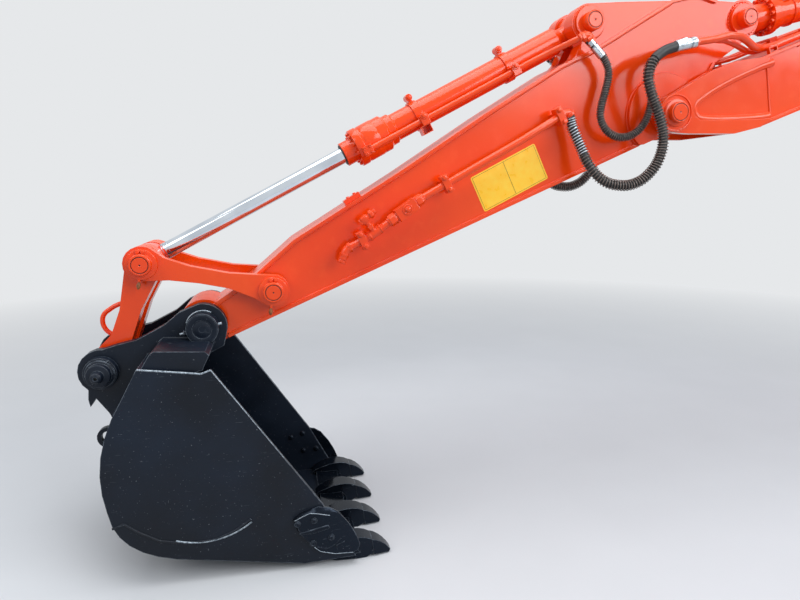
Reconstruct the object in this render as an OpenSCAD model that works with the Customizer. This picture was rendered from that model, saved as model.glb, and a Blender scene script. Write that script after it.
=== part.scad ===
// Front attachment of a wheeled excavator: boom, arm, bucket, bucket linkage,
// bucket cylinder, arm cylinder, pipes and hoses, standing as in the photograph:
// arm reached out, bucket half curled.
// Origin on the boom-foot pin. +X towards the machine, +Y to its right side, +Z up.

/* [Boom] */
// Level distance from the boom-foot pin to the boom-nose pin
boom_reach = 4595; // [4300:5:4900]
// Height of the boom-nose pin over the boom-foot pin
boom_nose_rise = 220; // [150:5:300]
// Width of the boom's box over its side plates
boom_box_w = 396; // [380:2:420]
// Overhang of the boom's flanges past its side plates
boom_flange_lip = 9; // [4:1:12]
// Thickness of the boom's top and bottom flanges
boom_flange_t = 14; // [8:1:20]
// Thickness of the boom's side plates
boom_side_t = 10; // [6:1:14]
// Length of the boom's foot boss
boom_foot_w = 520; // [460:5:600]
// Radius of the boom's foot boss
boom_foot_r = 112; // [95:1:125]
// Diameter of the bore for the boom-foot pin
boom_foot_bore = 90; // [70:1:110]
// Diameter of the bore for the boom cylinders' pin
boom_cylinder_bore = 85; // [70:1:100]
// Length of the boss for the boom cylinders' pin
boom_cylinder_boss_w = 470; // [440:5:500]

/* [Boom nose] */
// Gap between the two cheeks of the boom's nose
fork_gap = 342; // [340:1:352]
// Thickness of each cheek of the boom's nose
fork_cheek_t = 45; // [35:1:50]
// Depth of the gap behind the nose pin
fork_depth = 362; // [360:1:420]
// Diameter of the nose pin
nose_pin_d = 80; // [70:1:90]
// Radius of the nose pin's collars
nose_collar_r = 82; // [75:1:90]
// Thickness of the nose pin's collars
nose_collar_t = 16; // [10:1:22]
// Radius of the nose pin's end caps
nose_cap_r = 49; // [45:1:56]
// How far the nose pin's end caps stand out of its collars
nose_cap_t = 34; // [26:1:38]

/* [Arm] */
// Distance between the arm's two end pins
arm_length = 2480; // [2380:5:2700]
// Slope of the arm in the stored pose, in degrees
arm_slope = 23.2; // [15:0.1:30]
// Width of the arm over its side plates
arm_w = 270; // [262:2:278]
// Thickness of the arm's side plates
arm_side_t = 12; // [8:1:16]
// Thickness of the arm's flanges
arm_flange_t = 14; // [10:1:18]
// Overhang of the arm's flanges past its side plates
arm_flange_lip = 12; // [6:1:14]
// Thickness of the round plates on the arm at the nose pin
arm_boss_plate_t = 22; // [15:1:28]
// Radius of the round plates on the arm at the nose pin
arm_boss_plate_r = 200; // [180:2:215]

/* [Pins] */
// Diameter of the bucket, link and cylinder pins
pin_d = 75; // [65:1:80]
// Radial clearance of a pin in its bore
pin_gap = 0.05; // [0.02:0.01:0.1]
// Gap beside a turning eye or boss
side_gap = 5; // [4:0.5:7]
// How far a pin's round end cap stands out
cap_t = 38; // [30:1:40]
// Radius of a pin's round end cap
cap_r = 45; // [40:1:50]
// Radius of the ring round a cap on the idler links
cap_ring_r = 66; // [58:1:72]
// Thickness of the ring round a cap on the idler links
cap_ring_t = 14; // [8:1:18]

/* [Bucket linkage] */
// Distance from the bucket pin to the idler pin along the arm
idler_back = 346; // [330:2:370]
// Thickness of each idler link
idler_t = 50; // [40:1:55]
// Gap between an idler link and the arm
idler_gap = 16; // [14:1:20]
// Thickness of the bucket link's two upper cheeks
link_cheek_t = 84; // [70:1:88]
// Width of the bucket link's lower boss
link_boss_w = 300; // [280:2:302]

/* [Bucket] */
// Width of the bucket over its side plates
bucket_w = 930; // [900:5:1000]
// Thickness of the bucket's skin
skin_t = 14; // [10:1:18]
// Thickness of the bucket's side plates
bucket_side_t = 20; // [14:1:24]
// Gap between the bucket's two ears
ear_gap = 312; // [310:1:318]
// Thickness of the bucket's ears
ear_t = 45; // [36:1:50]
// Radius of the collars on the bucket pin
pin_collar_r = 69; // [62:1:76]
// Thickness of the collars on the bucket pin
collar_t = 58; // [40:1:64]
// Number of teeth
teeth = 4; // [3:1:5]
// Width of a tooth
tooth_w = 88; // [70:1:100]
// Thickness of the side cutters
cutter_t = 32; // [24:1:36]

/* [Cylinders] */
// Outer diameter of the bucket cylinder's barrel
bucket_barrel_d = 130; // [120:1:140]
// Diameter of the bucket cylinder's rod
bucket_rod_d = 75; // [65:1:85]
// Outer diameter of the arm cylinder's barrel
arm_barrel_d = 145; // [130:1:155]
// Diameter of the arm cylinder's rod
arm_rod_d = 85; // [70:1:92]
// Width of the cylinders' eyes
eye_w = 90; // [70:1:100]

/* [Pipes and hoses] */
// Outer diameter of the wide hoses
wide_hose_d = 46; // [38:1:50]
// Outer diameter of the thin hoses
thin_hose_d = 36; // [28:1:40]
// Outer diameter of the wide pipes
wide_pipe_d = 35; // [28:1:38]
// Outer diameter of the thin pipes
thin_pipe_d = 28; // [20:1:32]

/* [Hidden] */
$fn = 64;

paint = [0.90, 0.26, 0.10];
black = [0.07, 0.07, 0.08];
steel = [0.72, 0.73, 0.75];
rubber = [0.05, 0.05, 0.05];

// Places in the side view are [x, z]. Boom: from the foot pin. Nose: from the nose pin.
// Arm: from the nose pin, turned with the arm, so the bucket pin lies at [-arm_length, 0].
// Bucket: from the bucket pin.
nose = [-boom_reach, boom_nose_rise];
function turned(p, a) = [p[0] * cos(a) - p[1] * sin(a), p[0] * sin(a) + p[1] * cos(a)];
function from_arm(p) = nose + turned(p, arm_slope);
bucket_pin_at = from_arm([-arm_length, 0]);
idler_pin = [idler_back - arm_length, 14];
foot_pin = [-234, 556];
tail_pin = [572, 277];
link_pin_at = bucket_pin_at + [-240, 286];
link_foot_at = bucket_pin_at + [-435, -183];
// Level distance from the boom-foot pin to the arm cylinder's foot and to the boom cylinders
ram_foot_reach = 2570;
boom_cylinder_reach = 2605;
ram_foot_at = nose + [boom_reach - ram_foot_reach, 910];
tail_pin_at = from_arm(tail_pin);
foot_pin_at = from_arm(foot_pin);
idler_pin_at = from_arm(idler_pin);

function length_of(v) = sqrt(v[0] * v[0] + v[1] * v[1]);
function slope_of(v) = atan2(v[1], v[0]);
bucket_ram_v = link_pin_at - foot_pin_at;
arm_ram_v = tail_pin_at - ram_foot_at;

// Outlines: points of an arc, of a curve bent towards one point, and of a strip under a line
function arc(c, r, a0, a1, n) = [for (i = [0:n]) c + r * [cos(a0 + (a1 - a0) * i / n),
                                                        sin(a0 + (a1 - a0) * i / n)]];
function bend(a, b, c, n) = [for (i = [0:n]) let (t = i / n)
                             (1 - t) * (1 - t) * a + 2 * t * (1 - t) * b + t * t * c];
function turned_back(v) = [for (i = [len(v) - 1:-1:0]) v[i]];
function unit(v) = v / norm(v);
function side_of(v) = [-v[1], v[0]];
function slope_at(v, i) = unit(v[min(i + 1, len(v) - 1)] - v[max(i - 1, 0)]);
function moved_in(v, t) = [for (i = [0:len(v) - 1]) v[i] + t * side_of(slope_at(v, i))];
function strip(v, t) = concat(v, turned_back(moved_in(v, t)));

// A side-view outline as a plate from y0 to y1, and the same on both sides
module plate(y0, y1, outline) {
  translate([0, y1, 0]) rotate([90, 0, 0]) linear_extrude(y1 - y0) polygon(outline);
}
module both(y0, y1, outline) {
  plate(y0, y1, outline);
  plate(-y1, -y0, outline);
}
// A round bar along Y from y0 to y1, at a side-view place
module bar(at, d, y0, y1) {
  translate([at[0], y1, at[1]]) rotate([90, 0, 0]) cylinder(d = d, h = y1 - y0);
}
module bars(at, d, y0, y1) {
  bar(at, d, y0, y1);
  bar(at, d, -y1, -y0);
}
module at_nose() { translate([nose[0], 0, nose[1]]) children(); }
module on_arm() { at_nose() rotate([0, -arm_slope, 0]) children(); }
module at_bucket() { translate([bucket_pin_at[0], 0, bucket_pin_at[1]]) children(); }
// Children drawn along +X, laid from a side-view place along a side-view direction
module along(at, v) {
  translate([at[0], 0, at[1]]) rotate([0, -slope_of(v), 0]) children();
}
module round_along(outline) { rotate([0, 90, 0]) rotate_extrude() polygon(outline); }

// Boom
foot_from_nose = -nose;
fork_out = fork_gap / 2 + fork_cheek_t;
// Where the boom starts to bend, where its two straight lines meet, and where it ends bending
top_bend = boom_reach * [0.305, 0.459, 0.614];
low_bend = boom_reach * [0.272, 0.410, 0.555];
top_nose = [[-55, 65], [3, 95], [197, 207], [329, 260], [486, 286], [700, 369]];
top_arch = bend([top_bend[0], 623], [top_bend[1], 905], [top_bend[2], 591], 8);
top_foot = foot_from_nose + [-30, boom_foot_r];
boom_top = concat(top_nose, top_arch, [top_foot]);
boom_bottom = concat([[-21, -88], [105, -94], [366, -89], [520, -52], [745, 34]],
                     bend([low_bend[0], 203], [low_bend[1], 415], [low_bend[2], 231], 8),
                     [foot_from_nose + [-30, -boom_foot_r]]);
boom_cylinder_at = [boom_reach - boom_cylinder_reach, 420];
// Recess in the outer face of each nose cheek, open towards the boom's box
nose_recess = [[600, 292], [492, 255], [269, 155], [150, 82], [127, 62], [117, 40], [118, 15],
               [131, -10], [160, -27], [525, -14], [600, -1]];

module boom() {
  color(paint) difference() {
    at_nose() {
      both(boom_box_w / 2 - boom_side_t, boom_box_w / 2,
           concat(boom_bottom, turned_back(boom_top)));
      plate(-boom_box_w / 2 - boom_flange_lip, boom_box_w / 2 + boom_flange_lip,
            strip(boom_bottom, boom_flange_t));
      plate(-boom_box_w / 2 - boom_flange_lip, boom_box_w / 2 + boom_flange_lip,
            strip(boom_top, -boom_flange_t));
      // closing plate behind the gap, and cheeks of the nose
      plate(-boom_box_w / 2, boom_box_w / 2, concat(
        arc([0, 0], fork_depth - 1, -13, 42, 10), arc([0, 0], fork_depth + 14, 41, -12, 10)));
      both(fork_gap / 2, fork_out, concat(
        arc([0, 0], 90, 110, 262, 12),
        [[105, -94], [366, -89], [520, -52], [585, -7], [529, 286], [486, 286], [329, 260],
         [197, 207], [3, 95]]));
      bars([0, 0], 176, fork_gap / 2, fork_out + 8);
      bar(foot_from_nose, 2 * boom_foot_r, -boom_foot_w / 2, boom_foot_w / 2);
      bar(boom_cylinder_at, boom_cylinder_bore + 80, -boom_cylinder_boss_w / 2,
          boom_cylinder_boss_w / 2);
      // lugs of the arm cylinder's foot
      ram_foot_lugs();
    }
    at_nose() {
      both(boom_box_w / 2, fork_out + 1, nose_recess);
      // gap between the cheeks, for the arm's end
      plate(-fork_gap / 2, fork_gap / 2, concat(arc([0, 0], fork_depth, -80, 90, 12),
                                               [[-400, 400], [-400, -330]]));
      bar([0, 0], nose_pin_d, -fork_out - 20, fork_out + 20);
      bar(foot_from_nose, boom_foot_bore, -boom_foot_w / 2 - 1, boom_foot_w / 2 + 1);
      bar(boom_cylinder_at, boom_cylinder_bore, -boom_cylinder_boss_w / 2 - 1,
          boom_cylinder_boss_w / 2 + 1);
      bar(ram_foot_at - nose, pin_d, -160, 160);
    }
  }
}
lug_y = eye_w / 2 + side_gap;
lug_t = 40;
module ram_foot_lugs() {
  foot = ram_foot_at - nose;
  both(lug_y, lug_y + lug_t, concat(arc(foot, 88, 190, -10, 12), [foot + [150, -165],
       foot + [90, -215], foot + [-80, -215], foot + [-95, -170]]));
}
module boom_nose_pin() {
  color(paint) at_nose() {
    bar([0, 0], nose_pin_d, -fork_out - 8, fork_out + 8);
    bars([0, 0], 2 * nose_collar_r, fork_out + 8, fork_out + 8 + nose_collar_t);
    bars([0, 0], 2 * nose_cap_r, fork_out + 8 + nose_collar_t,
         fork_out + 8 + nose_collar_t + nose_cap_t);
  }
}

// Arm
arm_out = arm_w / 2;
arm_bottom = concat([[-2411, -104], [-1528, -99], [-87, -91]], arc([0, 0], 105, -100, -30, 6),
                    [[304, 91], [351, 131]]);
arm_top = [[-2415, 65], [-2190, 108], [-1953, 184], [-1366, 274], [-869, 362], [-441, 427],
           [-251, 435], [211, 502], [360, 480], [455, 415]];
tail_r = 96;
boss_t = 18;

module arm() {
  color(paint) on_arm() difference() {
    union() {
      // side plates, with the tail's ears
      both(arm_out - arm_side_t, arm_out, concat(
        arc([-arm_length, 0], 112, 120, 285, 12), arm_bottom,
        arc(tail_pin, tail_r, -70, 100, 10), turned_back(arm_top)));
      // flanges
      plate(-arm_out - arm_flange_lip, arm_out + arm_flange_lip, strip(arm_bottom, arm_flange_t));
      plate(-arm_out - arm_flange_lip, arm_out + arm_flange_lip, strip(arm_top, -arm_flange_t));
      // end boss, idler boss and nose boss
      bar([-arm_length, 0], 224, -arm_out, arm_out);
      bar(idler_pin, 150, -arm_out, arm_out);
      bar([0, 0], 170, -arm_out - arm_boss_plate_t, arm_out + arm_boss_plate_t);
      both(arm_out, arm_out + arm_boss_plate_t, arc([0, 0], arm_boss_plate_r, 0, 360, 48));
      // foot lugs of the bucket cylinder
      both(lug_y, arm_out, concat(arc(foot_pin, 88, 65, 190, 10),
                                  [[-301, 482], [-351, 440], [-430, 405], [200, 480], [211, 502],
                                   [-39, 586]]));
      bars(foot_pin, 150, lug_y, arm_out + boss_t);
      // ears of the tail
      both(lug_y, arm_out, arc(tail_pin, tail_r, 0, 360, 32));
      bars(tail_pin, 150, lug_y, arm_out + boss_t);
    }
    bar([-arm_length, 0], pin_d + 2 * pin_gap, -200, 200);
    bar(idler_pin, pin_d + 2 * pin_gap, -200, 200);
    bar([0, 0], nose_pin_d + 2 * pin_gap, -200, 200);
    bar(foot_pin, pin_d, -300, 300);
    bar(tail_pin, pin_d, -300, 300);
    // slot in the tail, where the arm cylinder's eye swings in
    plate(-lug_y, lug_y, [[215, -60], [215, 60], [250, 150], [300, 300], [420, 360], [700, 370],
                          [700, -60]]);
  }
}
module arm_pins() {
  color(paint) on_arm() {
    bar(foot_pin, pin_d, -arm_out - boss_t, arm_out + boss_t);
    bars(foot_pin, 2 * cap_r, arm_out + boss_t, arm_out + boss_t + cap_t);
    bars(tail_pin, pin_d, lug_y, arm_out + boss_t);
    bars(tail_pin, 2 * cap_r, arm_out + boss_t, arm_out + boss_t + cap_t);
  }
}

// Cylinders: an eye on the pin, a hollow barrel, and a rod with its piston and eye
module barrel(bore, outer, rod, head_r, head_l, nose_r, nose_l, length) {
  head_end = length - nose_l;
  head_at = head_end - head_l;
  difference() {
    union() {
      bar([0, 0], 150, -eye_w / 2, eye_w / 2);
      round_along([[0, 40], [eye_w / 2, 40], [eye_w / 2, 100], [outer / 2, 135],
                   [outer / 2, head_at - 43], [outer / 2 + 9, head_at - 35],
                   [outer / 2 + 9, head_at - 5], [head_r, head_at + 7], [head_r, head_end],
                   [nose_r, head_end], [nose_r, length], [0, length]]);
      children();
    }
    round_along([[0, 120], [bore / 2, 120], [bore / 2, length - 90],
                 [rod / 2 + pin_gap, length - 90], [rod / 2 + pin_gap, length + 1],
                 [0, length + 1]]);
    bar([0, 0], pin_d + 2 * pin_gap, -eye_w, eye_w);
  }
}
module rod(bore, d, length) {
  bar([0, 0], 150, -eye_w / 2, eye_w / 2);
  round_along([[0, -length], [bore / 2 - pin_gap, -length], [bore / 2 - pin_gap, 60 - length],
               [d / 2, 60 - length], [d / 2, -40], [0, -40]]);
}
bucket_barrel_l = 1335;
arm_barrel_l = 1550;
bucket_bore = bucket_barrel_d - 22;
arm_bore = arm_barrel_d - 24;

port_at = 1214;
pipe_side = -97;
pipe_low = 33;
module bucket_cylinder_barrel() {
  color(paint) along(foot_pin_at, bucket_ram_v) {
    barrel(bucket_bore, bucket_barrel_d, bucket_rod_d, 86, 170, 57, 65, bucket_barrel_l)
      translate([port_at, -118, 10]) cube([46, 58, 46]);
  }
}
// Bands round the barrel, with a lug on top and a block that holds the pipe
module bucket_cylinder_clamps() {
  color(paint) along(foot_pin_at, bucket_ram_v) for (x = [420, 930]) difference() {
    union() {
      translate([x - 20, 0, 0]) rotate([0, 90, 0]) cylinder(d = bucket_barrel_d + 14, h = 40);
      translate([x - 20, -120, 10]) cube([40, 80, 46]);
      translate([x - 10, -22, -98]) cube([20, 44, 50]);
    }
    translate([x - 30, 0, 0]) rotate([0, 90, 0]) cylinder(d = bucket_barrel_d, h = 60);
    translate([x - 30, pipe_side, pipe_low]) rotate([0, 90, 0])
      cylinder(d = thin_pipe_d + 1, h = 60);
  }
}
module bucket_cylinder_rod() {
  color(steel) along(link_pin_at, bucket_ram_v) rod(bucket_bore, bucket_rod_d, 1400);
}
ram_port_at = 1290;
module arm_cylinder_barrel() {
  color(paint) along(ram_foot_at, arm_ram_v)
    barrel(arm_bore, arm_barrel_d, arm_rod_d, 98, 44, 69, 125, arm_barrel_l)
      translate([ram_port_at, -66, -112]) cube([56, 50, 62]);
}
module arm_cylinder_pipe() {
  color(paint) along(ram_foot_at, arm_ram_v)
    tube([[ram_port_at, -42, -97], [ram_port_at - 90, -42, -97], [420, -42, -97],
          [340, -58, -92], [270, -92, -66], [230, -112, -20], [200, -116, 30]],
         thin_pipe_d, [-1, 0, 0]);
}
module arm_cylinder_pin() {
  color(paint) {
    bar(ram_foot_at, pin_d, -lug_y - lug_t, lug_y + lug_t);
    bars(ram_foot_at, 2 * cap_r, lug_y + lug_t, lug_y + lug_t + cap_t);
  }
}
module arm_cylinder_rod() {
  color(steel) along(tail_pin_at, arm_ram_v) rod(arm_bore, arm_rod_d, 1500);
}

// Bucket linkage, seen from the bucket pin
idler_in = arm_out + idler_gap;
idler_out = idler_in + idler_t;
link_pin = link_pin_at - bucket_pin_at;
link_foot = link_foot_at - bucket_pin_at;
idler_pin_low = idler_pin_at - bucket_pin_at;
link_in = link_boss_w / 2 - 5 - link_cheek_t;

link_back = [[-425, -110], [-352, 65], [-316, 50], [-385, -120]];

module idler_links() {
  color(paint) at_bucket() difference() {
    both(idler_in, idler_out, concat(
      arc(link_pin, 78, 65, 250, 10),
      [[-132, 213], [-7, 196], [119, 169], [230, 120]],
      arc(idler_pin_low, 75, 250, 430, 10),
      [[123, 237], [-45, 273], [-146, 310]]));
    bars(link_pin, pin_d, idler_in - 1, idler_out + 1);
    bars(idler_pin_low, pin_d, idler_in - 1, idler_out + 1);
  }
}
module idler_pins() {
  color(paint) at_bucket() {
    bar(idler_pin_low, pin_d, -idler_out, idler_out);
    bars(idler_pin_low, 2 * cap_ring_r, idler_out, idler_out + cap_ring_t);
    bars(idler_pin_low, 2 * cap_r, idler_out + cap_ring_t, idler_out + cap_t);
    bars(link_pin, pin_d, link_in, idler_out);
    bars(link_pin, 2 * cap_ring_r, idler_out, idler_out + cap_ring_t);
    bars(link_pin, 2 * cap_r, idler_out + cap_ring_t, idler_out + cap_t);
  }
}
module bucket_link() {
  color(paint) at_bucket() difference() {
    union() {
      both(link_in, link_boss_w / 2 - 5, concat(
        arc(link_pin, 78, -40, 160, 10), [[-356, 80], [-398, -31]],
        arc(link_foot, 82, 130, 370, 12), [[-323, -81], [-266, 76]]));
      bar(link_foot, 160, -link_boss_w / 2, link_boss_w / 2);
      plate(-link_in, link_in, link_back);
    }
    bars(link_pin, pin_d + 2 * pin_gap, link_in - 1, link_boss_w / 2);
  }
}

// Lifting eye on the bucket link's back
module bucket_link_eye() {
  color(paint) at_bucket() difference() {
    plate(-14, 14, concat(bend([-350, 69], [-395, 135], [-470, 45], 5),
                          bend([-470, 45], [-510, -15], [-418, -92], 5)));
    plate(-15, 15, concat(bend([-352, 40], [-395, 95], [-440, 25], 5),
                          bend([-440, 25], [-462, -20], [-402, -56], 5)));
    plate(-link_in, link_in, link_back);
  }
}

// Bucket, seen from the bucket pin
bucket_out = bucket_w / 2;
bucket_in = bucket_out - bucket_side_t;
ear_in = ear_gap / 2;
ear_out = ear_in + ear_t;
lip_start = [520, -1051];
lip_outline = [lip_start, [662, -1046], [640, -1017], [520, -1021]];
back_low = bend([-133, -957], [-372, -905], [-392, -715], 6);
back_high = bend([-392, -715], [-452, -470], [-302, -229], 6);
top_back = [-240, -111];
top_front = [-20, -139.5];
skin_line = concat([lip_start, [406, -1052]], back_low, [for (i = [1:6]) back_high[i]],
                   [top_back, top_front]);

module bucket_shell() {
  color(black) at_bucket() {
    plate(-bucket_in, bucket_in, strip(skin_line, -skin_t));
  }
}
module bucket_sides() {
  color(black) at_bucket() both(bucket_in, bucket_out, concat(
    [[637, -1045], [406, -1052]], back_low, [for (i = [1:6]) back_high[i]],
    [top_back, [7, -143], [48, -129], [493, -776]]));
}
module bucket_lip() {
  color(black) at_bucket() plate(-bucket_in, bucket_in, lip_outline);
}
module bucket_ears() {
  color(black) at_bucket() {
    difference() {
      both(ear_in, ear_out, concat(
        [back_high[4], back_high[5], back_high[6], top_back, top_front, [27, -120], [85, -91]],
        arc([0, 0], 104, -10, 100, 8),
        [[-99, 69], [-165, 14], [-286, -48], [-369, -66]],
        arc(link_foot, 100, 85, 232, 8),
        [[-500, -306], [-494, -340], [-468, -302], [-421, -370], [-410, -392]]));
      bars([0, 0], pin_d, ear_in - 1, ear_out + 1);
      bars(link_foot, pin_d, ear_in - 1, ear_out + 1);
    }
    difference() {
      both(ear_out, bucket_in, [top_front, [13, -132], [43, -70], [28, -54], [-174, -43],
                                [-190, -56], [-225, -112.9]]);
      bars([0, 0], 2 * pin_collar_r + 10, ear_out - 1, ear_out + collar_t + 5);
    }
  }
}
module bucket_pin() {
  color(paint) at_bucket() {
    bar([0, 0], pin_d, -ear_out, ear_out);
    bars([0, 0], 2 * pin_collar_r, ear_out, ear_out + collar_t);
  }
}
module bucket_link_pins() {
  color(paint) at_bucket() {
    bars(link_foot, pin_d, ear_in, ear_out);
    bars(link_foot, 170, ear_out, ear_out + 48);
    bars(link_foot, 100, ear_out + 48, ear_out + 98);
  }
}
tooth_pitch = (2 * bucket_in - tooth_w) / (teeth - 1);
// Each piece of a tooth: a side view, cut by a plan of half widths along X
module tooth_piece(side_view, plan) {
  for (i = [0:teeth - 1]) {
    y = -bucket_in + tooth_w / 2 + i * tooth_pitch;
    difference() {
      intersection() {
        plate(y - tooth_w, y + tooth_w, side_view);
        translate([0, y, -1200]) linear_extrude(400) polygon(concat(
          [for (p = plan) [p[0], p[1] * tooth_w / 2]],
          [for (p = turned_back(plan)) [p[0], -p[1] * tooth_w / 2]]));
      }
      // the lip, with the corner where the skin meets it
      plate(-bucket_out, bucket_out,
        concat([lip_start - [10, -1]], lip_outline, [lip_outline[3] - [10, 0]]));
      plate(-bucket_out, bucket_out, strip(skin_line, -skin_t));
    }
  }
}
module bucket_adapters() {
  color(black) at_bucket() tooth_piece(
    concat([[500, -1020]], bend([520, -1004], [640, -945], [716, -990], 6),
           [[724, -1060], [690, -1076], [540, -1070], [500, -1056]]),
    [[500, 0.7], [560, 1], [640, 1], [724, 0.82]]);
}
module bucket_teeth() {
  color(black) at_bucket() tooth_piece(
    concat([[724, -1060]], bend([716, -990], [770, -1004], [806, -1060], 5),
           [[800, -1072], [730, -1068]]),
    [[710, 0.9], [730, 0.9], [806, 0.5]]);
}
module side_cutters() {
  color(black) at_bucket() both(bucket_out, bucket_out + cutter_t,
    concat([[354, -827], [392, -802], [450, -781], [515, -769]],
           bend([515, -769], [592, -762], [635, -890], 5),
           bend([650, -945], [660, -1000], [600, -1003], 5),
           [[485, -998], [429, -964], [383, -895]]));
}
module bucket_hook() {
  middle = [-482, -560];
  color(black) at_bucket() plate(-14, 14, concat(
    arc(middle, 52, 60, 270, 12),
    [back_high[1], back_high[1] + 0.35 * (back_high[2] - back_high[1])],
    arc(middle, 32, 290, 60, 12)));
}

// Pipes and hoses: one tube swept through the route's points
function tube_ring(p, v, r, n) = let (b = unit(cross(v, [0, 1, 0])), c = cross(b, v))
  [for (i = [0:n - 1]) p + r * (cos(360 * i / n) * b - sin(360 * i / n) * c)];
// v0 and v1 set the way it points at its two ends, where it meets another piece
module tube(p, d, v0 = undef, v1 = undef) {
  n = 12;
  m = len(p) - 1;
  ways = [for (i = [0:m]) i == 0 && !is_undef(v0) ? unit(v0) : i == m && !is_undef(v1) ? unit(v1)
                          : unit(p[min(i + 1, m)] - p[max(i - 1, 0)])];
  rings = [for (i = [0:m]) tube_ring(p[i], ways[i], d / 2, n)];
  polyhedron(points = [for (r = rings) each r],
             faces = concat([[for (i = [0:n - 1]) i]],
                            [[for (i = [n - 1:-1:0]) m * n + i]],
                            [for (k = [0:m - 1]) for (i = [0:n - 1])
                             [k * n + i, (k + 1) * n + i, (k + 1) * n + (i + 1) % n,
                              k * n + (i + 1) % n]]));
}
module mirrored() {
  children();
  mirror([0, 1, 0]) children();
}
wide_pipe_y = 165;
thin_pipe_y = 120;
pipe_lift = 30;
boom_top_out = moved_in(concat([top_nose[5]], top_arch), pipe_lift);
straight_out = moved_in([top_nose[5], top_arch[0]], pipe_lift);
pipe_up = straight_out[0] + 0.15 * (straight_out[1] - straight_out[0]);
pipe_end = boom_top_out[9] + 0.86 * (top_foot - top_arch[8]);
wide_on_boom = concat([[-22, -302, 310], [45, -302, 319], [138, -300, 335], [215, -295, 357],
                       [290, -280, 361], [350, -262, 346], [410, -234, 331], [470, -198, 331],
                       [525, -169, 341], [607, -165, 361], [pipe_up[0], -wide_pipe_y, pipe_up[1]]],
                      [for (i = [1:9]) [boom_top_out[i][0], -wide_pipe_y, boom_top_out[i][1]]],
                      [[pipe_end[0], -wide_pipe_y, pipe_end[1]]]);
thin_on_boom = concat([[45, -208, 331], [115, -212, 343], [185, -222, 352], [250, -230, 350],
                       [310, -224, 338], [385, -196, 324], [440, -163, 322], [505, -130, 330],
                       [607, -120, 360],
                       [pipe_up[0], -thin_pipe_y, pipe_up[1]]],
                      [for (i = [1:9]) [boom_top_out[i][0], -thin_pipe_y, boom_top_out[i][1]]],
                      [[pipe_end[0], -thin_pipe_y, pipe_end[1]]]);
module boom_pipes() {
  color(paint) at_nose() mirrored() {
    tube(wide_on_boom, wide_pipe_d);
    tube(thin_on_boom, thin_pipe_d);
  }
}
// A clamp block across both pipes, a share t of the way from a to b on the boom's top
module boom_clamp(a, b, t) {
  at_nose() mirrored() along(a + t * (b - a), b - a) difference() {
    translate([-25, -wide_pipe_y - 30, 0.3])
      cube([50, wide_pipe_y - thin_pipe_y + 55, pipe_lift + 25]);
    translate([-30, -wide_pipe_y, pipe_lift]) rotate([0, 90, 0])
      cylinder(d = wide_pipe_d + 2, h = 60);
    translate([-30, -thin_pipe_y, pipe_lift]) rotate([0, 90, 0])
      cylinder(d = thin_pipe_d + 2, h = 60);
  }
}
module boom_pipe_clamps() {
  color(paint) {
    for (t = [0.2, 0.8]) boom_clamp(top_nose[5], top_arch[0], t);
    for (t = [0.1, 0.45, 0.8]) boom_clamp(top_arch[8], top_foot, t);
  }
}
// Short square tube on each edge of the boom's top, beside the pipes
module boom_pipe_bracket() {
  color(paint) at_nose() mirrored() along(top_nose[4] + 0.36 * (top_nose[5] - top_nose[4]),
                                          top_nose[5] - top_nose[4]) difference() {
    translate([-25, -207, 0]) cube([50, 20, 31]);
    translate([-19, -208, 6]) cube([38, 24, 19]);
  }
}
pipe_y = -200;
arm_pipe_line = [[-1794, 12], [-1752, 53], [-1648, 58], [-1530, 82], [-1330, 124],
                 [-1183, 139], [-788, 179], [-530, 213], [-510, 209], [-505, 195]];
module arm_pipes() {
  color(paint) on_arm() mirrored() {
    tube([for (p = arm_pipe_line) [p[0], pipe_y, p[1]]], wide_pipe_d);
  }
}
// Children drawn along +X, laid on the arm's pipe where it passes a place x from the nose pin
function pipe_part(x) = [for (i = [1:7]) if (arm_pipe_line[i][0] <= x
                                             && arm_pipe_line[i + 1][0] > x) i][0];
module on_arm_pipe(x) {
  i = pipe_part(x);
  a = arm_pipe_line[i];
  v = arm_pipe_line[i + 1] - a;
  translate([0, pipe_y, 0]) along(a + (x - a[0]) / v[0] * v, v) children();
}
module arm_pipe_clamps() {
  color(paint) on_arm() mirrored() for (x = [-1667, -1200, -560]) on_arm_pipe(x)
    difference() {
      union() {
        translate([-17, -24, -40]) cube([34, 48, 84]);
        translate([-17, 24, -24]) cube([34, -pipe_y - arm_out - 24, 48]);
      }
      translate([-20, 0, 0]) rotate([0, 90, 0]) cylinder(d = wide_pipe_d + 0.5, h = 40);
    }
}
// Nuts on the arm's pipes: place, length and width
nuts = [[-1516, 36, 56], [-1365, 32, 56], [-1636, 70, 46]];
module arm_pipe_fittings() {
  color(paint) on_arm() mirrored() {
    for (n = nuts) on_arm_pipe(n[0]) difference() {
      rotate([0, 90, 0]) cylinder(d = n[2], h = n[1], $fn = 6);
      translate([-1, 0, 0]) rotate([0, 90, 0]) cylinder(d = wide_pipe_d, h = n[1] + 2);
    }
    // branch with its plug
    on_arm_pipe(-1610) translate([4, 0, 20]) rotate([0, -14, 0]) {
      cylinder(d = 30, h = 52);
      translate([-24, 0, 62]) rotate([0, 90, 0]) cylinder(d = 34, h = 48);
      translate([22, 0, 62]) rotate([0, 90, 0]) cylinder(d = 40, h = 20, $fn = 6);
      translate([-40, 0, 62]) rotate([0, 90, 0]) cylinder(d = 42, h = 18, $fn = 6);
    }
    // cap on the pipe's lower end
    translate([0, pipe_y, 0]) along(arm_pipe_line[0], arm_pipe_line[0] - arm_pipe_line[1])
      rotate([0, 90, 0]) cylinder(d = 46, h = 26, $fn = 6);
  }
}
module arm_grease_block() {
  color(paint) on_arm() along(arm_top[2], arm_top[3] - arm_top[2])
    translate([292, -122, 0]) cube([84, 44, 24]);
}
valve_at = -1474;
valve_l = 106;
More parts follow.
